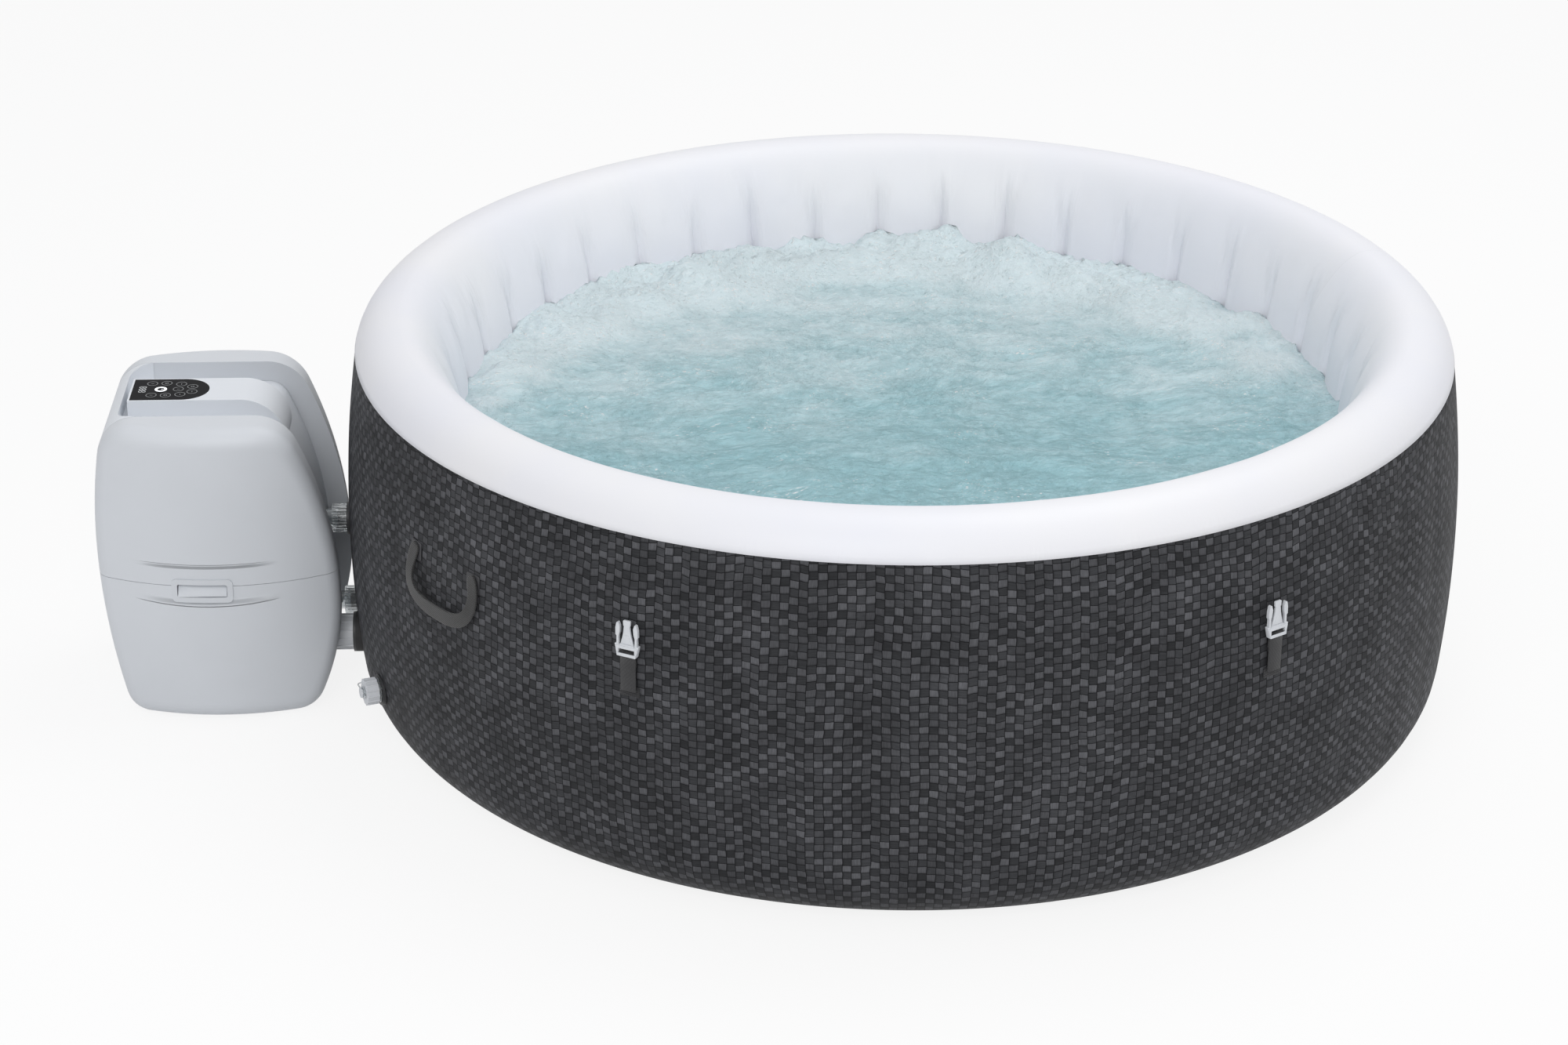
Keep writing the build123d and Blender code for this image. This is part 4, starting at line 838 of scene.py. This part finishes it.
class HOTTUB_OT_water(bpy.types.Operator):
    """Aerated water, frothing where the bubbles rise"""

    bl_idname = "hot_tub.water"
    bl_label = "Water"

    def execute(self, context):
        level = settings().water_level
        edge = 0.7165
        skirt = 0.05
        rings, spokes = 124, 640
        points = [(edge * (n / rings) ** 0.86, level) for n in range(rings + 1)]
        bm = lathe(points, spokes, closed=False)
        for vert in bm.verts:
            x, y, _ = vert.co
            # The froth heaps up where the bubbles rise, near the wall and on the far side
            back = (math.sin(math.atan2(y, x) - 0.12) + 0.25) / 1.1
            back = max(0.0, min(1.0, back))
            shore = smooth((math.hypot(x, y) - 0.52) / 0.12)
            lumps = lumpy(x, y, 2.0, (11.0, 11.0, 1.0)) * 0.5 + 0.5
            small = lumpy(x, y, 5.0, (30.0, 30.0, 1.0)) * 0.5 + 0.5
            surge = back * shore * (0.010 + 0.060 * lumps**1.8 + 0.016 * small)
            swell = 0.006 * lumpy(x, y, 0.0, (4.5, 7.0, 1.0))
            chop = 0.0042 * noise.turbulence(
                Vector((x * 16.0, y * 24.0, 1.0)), 3, False,
                amplitude_scale=0.6, frequency_scale=2.1,
            )
            crust = 0.0075 * noise.turbulence(
                Vector((x * 48.0, y * 48.0, 3.0)), 3, True,
                amplitude_scale=0.6, frequency_scale=2.2,
            )
            crust *= 0.25 + back * (0.5 + 0.9 * shore)
            vert.co.z = level + surge + swell + chop + crust
        rim_edges = [e for e in bm.edges if e.is_boundary]
        grown = bmesh.ops.extrude_edge_only(bm, edges=rim_edges)
        for vert in grown["geom"]:
            if isinstance(vert, bmesh.types.BMVert):
                vert.co.z = level - skirt
        bmesh.ops.holes_fill(bm, edges=[e for e in bm.edges if e.is_boundary])
        bmesh.ops.recalc_face_normals(bm, faces=bm.faces)
        piece_from(bm, "water", "tub", bubbling_water(), sharp=180)
        return {"FINISHED"}


# --- Straps, buckles and handles ---
def strap_band():
    """Webbing from the anchor up and round the buckle's bar, at the local origin of its bar."""
    foot = STRAP_FOOT - BAR_HEIGHT
    loop = 0.0029
    path = [(0.0, foot), (0.0, foot * 0.66), (0.0, foot * 0.33)]
    path += [(0.0003, -0.0062), (0.0016, -0.0036)]
    path += arc((0.0, 0.0), loop, math.radians(-35), math.radians(215), 8)
    path += [(-0.0017, -0.0042), (-0.0014, -0.0075), (-0.0019, -0.012), (-0.0019, -0.020)]
    across = Vector((1, 0, 0))
    stations = []
    for number, (out, up) in enumerate(path):
        before = path[max(number - 1, 0)]
        after = path[min(number + 1, len(path) - 1)]
        run = Vector((0, after[1] - before[1], after[0] - before[0])).normalized()
        stations.append((Vector((0, up, out)), across, across.cross(run), STRAP_WIDTH))
    return band(stations, WEBBING_THICKNESS)


class HOTTUB_OT_straps(bpy.types.Operator):
    """Cover straps and their stitched anchors"""

    bl_idname = "hot_tub.straps"
    bl_label = "Straps"

    def execute(self, context):
        cloth = woven_webbing("strap_webbing", tuple(settings().webbing_colour))
        patch = woven_webbing("anchor_webbing", (0.005, 0.005, 0.006), pitch=0.0024)
        thread = plain_cloth("anchor_thread", (0.05, 0.05, 0.055))
        pad_thickness = 0.0016
        pads, seams = [], []
        for number, azimuth in enumerate(STRAP_AZIMUTHS, start=1):
            bm = strap_band()
            bm.transform(facing(azimuth, STRAP_RADIUS, BAR_HEIGHT))
            piece_from(
                bm, f"strap_webbing_{number}", f"strap_{number}", cloth,
                [f"cover_strap_{number}"], sharp=50,
            )
            place = on_wall(azimuth, ANCHOR_HEIGHT + ANCHOR_TALL / 2)
            pads.append((cushion(0.033, ANCHOR_TALL, pad_thickness), place))
            for row in (-0.0065, -0.0045, 0.0062):
                for n in range(9):
                    spot = Matrix.Translation((-0.0128 + n * 0.0032, row, pad_thickness + SKIN_GAP))
                    seams.append((stitch(0.0021, 0.0005), place @ spot))
        handle_pads = []
        turn = math.degrees(HANDLE_HALF_SPAN / BULGE_RADIUS)
        for azimuth in HANDLE_AZIMUTHS:
            for side in (-turn, turn):
                pad = cushion(0.030, 0.030, 0.0012, corners=8)
                handle_pads.append((pad, on_wall(azimuth + side, HANDLE_HEIGHT)))
        piece_from(join(pads), "strap_anchors", "tub", patch, ["webbing_patches"])
        piece_from(join(seams), "anchor_stitches", "tub", thread)
        piece_from(
            join(handle_pads), "handle_patches", "tub",
            soft_vinyl("patch_vinyl", (0.035, 0.035, 0.038), grain=2.0),
        )
        return {"FINISHED"}


def cushion(width, tall, thick, corners=3):
    """Flat pad with rounded corners and soft edges, its back on the local plane."""
    bm = bmesh.new()
    bmesh.ops.create_grid(bm, x_segments=1, y_segments=1, size=0.5)
    bmesh.ops.scale(bm, vec=(width, tall, 1), verts=bm.verts)
    soften(bm, list(bm.verts), min(width, tall) * 0.14, corners, "VERTICES")
    draw_up(bm, thick)
    soften(bm, [e for e in bm.edges if all(v.co.z > thick / 2 for v in e.verts)], 0.0006)
    return bm


def stitch(length, radius):
    """One short thread that lies along the local x axis."""
    bm = bmesh.new()
    bmesh.ops.create_icosphere(bm, subdivisions=1, radius=1.0)
    bmesh.ops.scale(bm, vec=(length / 2, radius, radius * 0.7), verts=bm.verts)
    return bm


def buckle_shape():
    """Male half of a side-release buckle about its bar, x across, y up and z out."""
    half = 0.0195
    low = -0.0030
    top = 0.0150
    high = 0.0530
    slot = 0.0082
    body = [
        (0.013, slot), (0.013, low), (half - 0.004, low), (half, top - 0.001),
        (half - 0.0006, top), (half - 0.0036, top), (half - 0.0044, top - 0.0015),
        (half - 0.0075, top - 0.0015), (0.0112, top),
    ]
    front = [(0.0152, low), (0.0156, 0.0018)]
    brow = [(0.0168, slot), (0.0160, 0.0128)]
    tongue = [
        (0.0108, top - 0.001), (0.0094, 0.0200), (0.0074, 0.0270), (0.0058, 0.0345),
        (0.0050, 0.0415), (0.0046, high - 0.0095), (0.0058, high - 0.0080),
        (0.0060, high - 0.0012), (0.0050, high),
    ]
    stem = [(0.0075, top + 0.001), (0.0034, 0.0290)]
    cheek = [(0.0132, low + 0.0002), (0.0157, low + 0.0002), (0.0180, 0.0120), (0.0132, 0.0120)]
    prong = [
        (half - 0.0066, top - 0.002), (half - 0.0026, top - 0.002), (half - 0.0030, 0.0270),
        (half - 0.0012, 0.0290), (half - 0.0014, 0.0400), (half - 0.0032, 0.0480),
        (half - 0.0062, 0.0490), (half - 0.0086, 0.0420), (half - 0.0080, 0.0330),
        (half - 0.0062, 0.0265),
    ]
    # Each plate's outline, thickness, rounding, and how far out its back lies
    plates = [
        (mirrored(body), 0.0070, 0.0005, -0.0035),
        (mirrored(front), 0.0016, 0.0004, 0.0042),
        (mirrored(brow), 0.0014, 0.0005, 0.0032),
        (mirrored(tongue), 0.0034, 0.0005, -0.0017),
        (mirrored(stem), 0.0008, 0.0003, 0.0014),
    ]
    for side in (1, -1):
        plates.append(([(side * x, y) for x, y in cheek], 0.0016, 0.0004, 0.0032))
        plates.append(([(side * x, y) for x, y in prong], 0.0060, 0.0005, -0.0030))
    return join(
        (flat_shape(outline, thickness, rounding), Matrix.Translation((0, 0, back)))
        for outline, thickness, rounding, back in plates
    )


class HOTTUB_OT_buckles(bpy.types.Operator):
    """Side-release buckle halves on the straps"""

    bl_idname = "hot_tub.buckles"
    bl_label = "Buckles"

    def execute(self, context):
        plastic = moulded_plastic("buckle_plastic", tuple(settings().buckle_colour), 0.35)
        for number, azimuth in enumerate(STRAP_AZIMUTHS, start=1):
            bm = buckle_shape()
            bm.transform(facing(azimuth, STRAP_RADIUS, BAR_HEIGHT))
            piece_from(
                bm, f"buckle_{number}_half", f"buckle_{number}", plastic,
                [f"strap_buckle_{number}"], sharp=35,
            )
        return {"FINISHED"}


def handle_line():
    """Middle line of a hanging handle, as (along, height above the tabs' middle, width)."""
    span = HANDLE_HALF_SPAN
    right = [
        (span - 0.004, 0.0125, 0.014),
        (span - 0.001, 0.0060, 0.020),
        (span + 0.003, -0.0040, 0.0220),
        (span + 0.006, -0.0170, 0.0210),
        (span + 0.0065, -0.0300, 0.0205),
        (span + 0.0030, -0.0440, 0.0210),
        (span - 0.0070, -0.0570, 0.0215),
        (span - 0.0210, -0.0650, 0.0225),
        (span - 0.0380, -0.0690, 0.0230),
        (span - 0.0560, -0.0705, 0.0235),
    ]
    left = [(-a, b, c) for a, b, c in right]
    return right + [(0.0, -0.0710, 0.0235)] + list(reversed(left))


class HOTTUB_OT_handles(bpy.types.Operator):
    """Webbing carry handles that hang against the wall"""

    bl_idname = "hot_tub.handles"
    bl_label = "Carry handles"

    def execute(self, context):
        cloth = woven_webbing("handle_webbing", (0.014, 0.014, 0.014), pitch=0.0021)
        line = handle_line()
        for number, azimuth in enumerate(HANDLE_AZIMUTHS, start=1):
            stations = []
            for spot, (along, up, width) in enumerate(line):
                before = line[max(spot - 1, 0)]
                after = line[min(spot + 1, len(line) - 1)]
                turn = math.degrees(along / BULGE_RADIUS)
                height = HANDLE_HEIGHT + up
                # The band lies on its pads at the tabs and stands off the wall lower down
                press = 0.0016 * max(0.0, (up + 0.004) / 0.016)
                lift = 0.0046 + 0.0080 * smooth(-up / 0.06) - press
                place = facing(azimuth + turn, wall_radius(height) + lift, height)
                run = Vector((after[0] - before[0], after[1] - before[1], 0)).normalized()
                rotation = place.to_3x3()
                across = rotation @ Vector((run.y, -run.x, 0))
                out = rotation @ Vector((0, 0, 1))
                stations.append((place.translation, across, out, width))
            piece = piece_from(
                band(stations, HANDLE_THICKNESS), f"handle_band_{number}", f"handle_{number}",
                cloth, [f"carry_handle_{number}"], sharp=60,
            )
            soft = piece.modifiers.new("soft", "SUBSURF")
            soft.levels = 2
            soft.render_levels = 2
        return {"FINISHED"}


# --- Ports, valves and couplings ---
class HOTTUB_OT_ports(bpy.types.Operator):
    """Wall fittings, valves, pipes and union nuts"""

    bl_idname = "hot_tub.ports"
    bl_label = "Ports and couplings"

    def execute(self, context):
        # The couplings' light grey is partly their own colour and partly painted light, raised
        # against the shade of the gap round the air nut
        grey = moulded_plastic("coupling_plastic", (0.68, 0.70, 0.73))
        dark = moulded_plastic("fitting_plastic", (0.035, 0.036, 0.038))
        dress(["air_pipe", "air_nut", "drain_cap"], grey)
        dress(["inner_screens", "filter_housing", "filter_cap", "bubble_feed"], grey)
        dress(["wall_fittings", "drain_valve", "air_valve", "air_valve_cap", "cord_gland"], dark)
        dress(["clear_pipes", "outlet_nut", "intake_nut", "cap_tether"], clear_plastic())
        dress(["fitting_gaskets"], dull_rubber("seal_rubber"))
        dress(["filter_cartridge"], plain_cloth("filter_paper", (0.80, 0.80, 0.77)))
        return {"FINISHED"}


# --- Pump unit ---
class HOTTUB_OT_casing(bpy.types.Operator):
    """Casing, bridge and finger grips of the pump unit"""

    bl_idname = "hot_tub.casing"
    bl_label = "Pump casing"

    def execute(self, context):
        colour = tuple(settings().casing_colour)
        dress(["lower_housing", "front_cover", "back_cover"], casing_plastic(colour))
        # Painted light: the channel spine and bridge get a lighter copy of the casing plastic,
        # against the shade of the channel they sit in
        channel = moulded_plastic("channel_plastic", shade(colour, 1.15))
        dress(["channel_spine", "panel_bridge"], channel)
        dress(["grip_pockets"], moulded_plastic("grip_plastic", shade(colour, 0.98)))
        dress(["pump_feet"], dull_rubber("foot_rubber"))
        # Sloped plates at the back of the two finger grips
        outline = mirrored([(0.039, -0.0105), (0.0385, 0.0105)])
        slope = Matrix.Rotation(math.radians(60), 4, "X")
        pans = []
        for turn in (0.0, math.pi):
            middle = Matrix.Translation((PUMP_X - 0.021, 0, 0.2385))
            face = Matrix.Rotation(turn, 4, "Z") @ Matrix.Translation((0, -0.1815, 0))
            pans.append((flat_shape(outline, 0.0016, 0.0006), middle @ face @ slope))
        # Painted light: the pans take a slightly lighter copy of the casing plastic, for their lit
        # face
        piece_from(
            join(pans), "grip_pans", "pump_unit",
            moulded_plastic("pan_plastic", shade(colour, 1.03)),
        )
        return {"FINISHED"}


def ring(radius, width, place):
    """Flat printed ring, and where it goes."""
    low, high = radius - width / 2, radius + width / 2
    bm = lathe([(low, 0.0), (high, 0.0), (high, INK_THICKNESS), (low, INK_THICKNESS)], 40)
    return bm, Matrix.Translation(place)


def bar(width, tall, place):
    """Flat printed bar with cut corners, and where it goes."""
    bm = bmesh.new()
    bmesh.ops.create_cube(bm, size=1.0)
    bmesh.ops.scale(bm, vec=(width, tall, INK_THICKNESS), verts=bm.verts)
    upright = [e for e in bm.edges if abs(e.verts[0].co.z - e.verts[1].co.z) > 1e-5]
    soften(bm, upright, min(width, tall) * 0.3)
    return bm, Matrix.Translation(place + Vector((0, 0, INK_THICKNESS / 2)))


class HOTTUB_OT_panel(bpy.types.Operator):
    """Touch panel with its display, lit ring and plain key outlines"""

    bl_idname = "hot_tub.panel"
    bl_label = "Control panel"

    def execute(self, context):
        dress(["control_panel"], panel_gloss())
        dress(["control_board"], moulded_plastic("board_laminate", (0.02, 0.13, 0.05), 0.35))
        start = Vector((PANEL_START, 0.0, PANEL_TOP + 0.0003))
        key_places = (
            (0.030, 0.024), (0.053, 0.025), (0.077, 0.021), (0.074, 0.0), (0.096, 0.010),
            (0.097, -0.011), (0.033, -0.024), (0.056, -0.025), (0.079, -0.022),
        )
        keys = []
        for number, (along, across) in enumerate(key_places):
            place = start + Vector((along, across, 0))
            keys.append(ring(0.0082, 0.0008, place))
            if number % 3 == 0:
                keys.append(bar(0.0048, 0.0007, place))
            elif number % 3 == 1:
                keys.append(ring(0.0025, 0.0007, place))
            else:
                keys.append(bar(0.0007, 0.0048, place))
        lit = [
            ring(0.0078, 0.0042, start + Vector((0.046, 0, 0))),
            bar(0.0040, 0.0010, start + Vector((0.048, 0, 0))),
        ]
        # Three digits, each a figure eight of bars
        display = []
        for digit in (-1, 0, 1):
            middle = start + Vector((0.0165, digit * 0.0088, 0))
            for along in (-0.0052, 0.0, 0.0052):
                display.append(bar(0.0010, 0.0044, middle + Vector((along, 0, 0))))
            for along in (-0.0026, 0.0026):
                for across in (-0.0028, 0.0028):
                    display.append(bar(0.0038, 0.0010, middle + Vector((along, across, 0))))
        for marks, name, ink in (
            (keys, "panel_keys", panel_ink("key_ink", (0.34, 0.35, 0.36), 0.0)),
            (lit, "panel_lit_ring", panel_ink("lit_ink", (0.95, 0.97, 1.0), 0.6)),
            (display, "panel_display", panel_ink("digit_ink", (0.62, 0.64, 0.65), 0.3)),
        ):
            piece_from(join(marks), name, "pump_unit", ink)
        return {"FINISHED"}


class HOTTUB_OT_works(bpy.types.Operator):
    """Pump, heater, blower and lines inside the unit"""

    bl_idname = "hot_tub.works"
    bl_label = "Inside the pump unit"

    def execute(self, context):
        inner = moulded_plastic("works_plastic", (0.05, 0.052, 0.055))
        dress(["inner_frame", "volute", "impeller", "water_line", "air_line"], inner)
        dress(["check_valve", "blower_housing", "blower_fan"], inner)
        paint = worked_metal("motor_paint", (0.10, 0.11, 0.12), rough=0.45, metallic=0.4)
        dress(["pump_motor", "blower_motor"], paint)
        dress(["heater_tube"], worked_metal("heater_steel", (0.58, 0.58, 0.60), rough=0.28))
        dress(["valve_flap"], dull_rubber("flap_rubber"))
        return {"FINISHED"}


# --- Stage ---
def seen_white(tree, surface, share):
    """Mixes a plain white glow into what camera, mirrors and glass see of a surface."""
    rays = tree.nodes.new("ShaderNodeLightPath").outputs
    glow = tree.nodes.new("ShaderNodeEmission")
    seen = Number(tree, rays["Is Camera Ray"])
    for ray in ("Is Glossy Ray", "Is Transmission Ray"):
        seen = seen.math("MAXIMUM", seen, Number(tree, rays[ray]))
    blend = tree.nodes.new("ShaderNodeMixShader")
    for place, socket in zip(blend.inputs, ((seen * share).socket, surface, glow.outputs[0])):
        tree.links.new(socket, place)
    return blend.outputs[0]


def stand(thing, spot, direction):
    """Puts a lamp or camera in the scene, looking along a direction."""
    thing.location = spot
    thing.rotation_euler = direction.to_track_quat("-Z", "Y").to_euler()
    bpy.context.scene.collection.objects.link(thing)


class HOTTUB_OT_stage(bpy.types.Operator):
    """Pale floor, soft light and the camera"""

    bl_idname = "hot_tub.stage"
    bl_label = "Stage"

    def execute(self, context):
        bm = bmesh.new()
        bmesh.ops.create_grid(bm, x_segments=8, y_segments=8, size=30.0)
        mesh = bpy.data.meshes.new("floor")
        bm.to_mesh(mesh)
        bm.free()
        floor = bpy.data.objects.new("floor", mesh)
        context.scene.collection.objects.link(floor)
        floor.location.z = -0.0005
        finish = Finish("floor_white", Roughness=0.9, Specular_IOR_Level=0.1)
        finish.set("Base Color", (0.90, 0.90, 0.90, 1.0))
        white = seen_white(finish.tree, finish.shader.outputs[0], 0.86)
        finish.tree.links.new(white, finish.tree.nodes["Material Output"].inputs["Surface"])
        mesh.materials.append(finish.material)
        world = bpy.data.worlds.new("soft_room")
        world.use_nodes = True
        tree = world.node_tree
        back = tree.nodes["Background"]
        back.inputs["Color"].default_value = (0.975, 0.98, 1.0, 1.0)
        back.inputs["Strength"].default_value = 0.55
        white = seen_white(tree, back.outputs[0], 1.0)
        tree.links.new(white, tree.nodes["World Output"].inputs["Surface"])
        context.scene.world = world
        middle = Vector((-0.1, 0.0, 0.3))
        for name, spot, power, size in (
            ("key_softbox", (-1.4, -5.2, 4.0), 120.0, 2.6),
            ("fill_softbox", (4.4, -3.2, 3.4), 28.0, 3.5),
            ("top_softbox", (1.3, 0.9, 5.0), 85.0, 3.0),
        ):
            light = bpy.data.lights.new(name, "AREA")
            light.energy = power
            light.size = size
            stand(bpy.data.objects.new(name, light), spot, middle - Vector(spot))
        heading, pitch = 0.0323, 0.4318
        look = (
            math.sin(heading) * math.cos(pitch), math.cos(heading) * math.cos(pitch),
            -math.sin(pitch),
        )
        lens = bpy.data.cameras.new("camera")
        lens.lens = 86.04
        lens.sensor_width = 36.0
        lens.clip_end = 200.0
        camera = bpy.data.objects.new("camera", lens)
        stand(camera, (-0.372, -5.6002, 2.8424), Vector(look))
        context.scene.camera = camera
        context.scene.view_settings.view_transform = "Standard"
        return {"FINISHED"}


OPERATORS = (
    HOTTUB_OT_stage,
    HOTTUB_OT_side_wall,
    HOTTUB_OT_rim,
    HOTTUB_OT_liner,
    HOTTUB_OT_water,
    HOTTUB_OT_straps,
    HOTTUB_OT_buckles,
    HOTTUB_OT_handles,
    HOTTUB_OT_ports,
    HOTTUB_OT_casing,
    HOTTUB_OT_panel,
    HOTTUB_OT_works,
)


class HOTTUB_PT_panel(bpy.types.Panel):
    """Buttons for each piece, and the settings"""

    bl_idname = "HOTTUB_PT_panel"
    bl_label = "Hot tub"
    bl_space_type = "VIEW_3D"
    bl_region_type = "UI"
    bl_category = "Hot tub"

    def draw(self, context):
        for operator in OPERATORS:
            self.layout.operator(operator.bl_idname)
        for name in HotTubSettings.__annotations__:
            self.layout.prop(context.scene.hot_tub, name)


CLASSES = (HotTubSettings, *OPERATORS, HOTTUB_PT_panel)


def register():
    for cls in CLASSES:
        bpy.utils.register_class(cls)
    bpy.types.Scene.hot_tub = PointerProperty(type=HotTubSettings)


def unregister():
    del bpy.types.Scene.hot_tub
    for cls in reversed(CLASSES):
        bpy.utils.unregister_class(cls)


def main():
    register()
    bpy.ops.hot_tub.stage()
    bpy.ops.hot_tub.side_wall()
    bpy.ops.hot_tub.rim()
    bpy.ops.hot_tub.liner()
    bpy.ops.hot_tub.water()
    bpy.ops.hot_tub.straps()
    bpy.ops.hot_tub.buckles()
    bpy.ops.hot_tub.handles()
    bpy.ops.hot_tub.ports()
    bpy.ops.hot_tub.casing()
    bpy.ops.hot_tub.panel()
    bpy.ops.hot_tub.works()


if __name__ == "__main__":
    main()
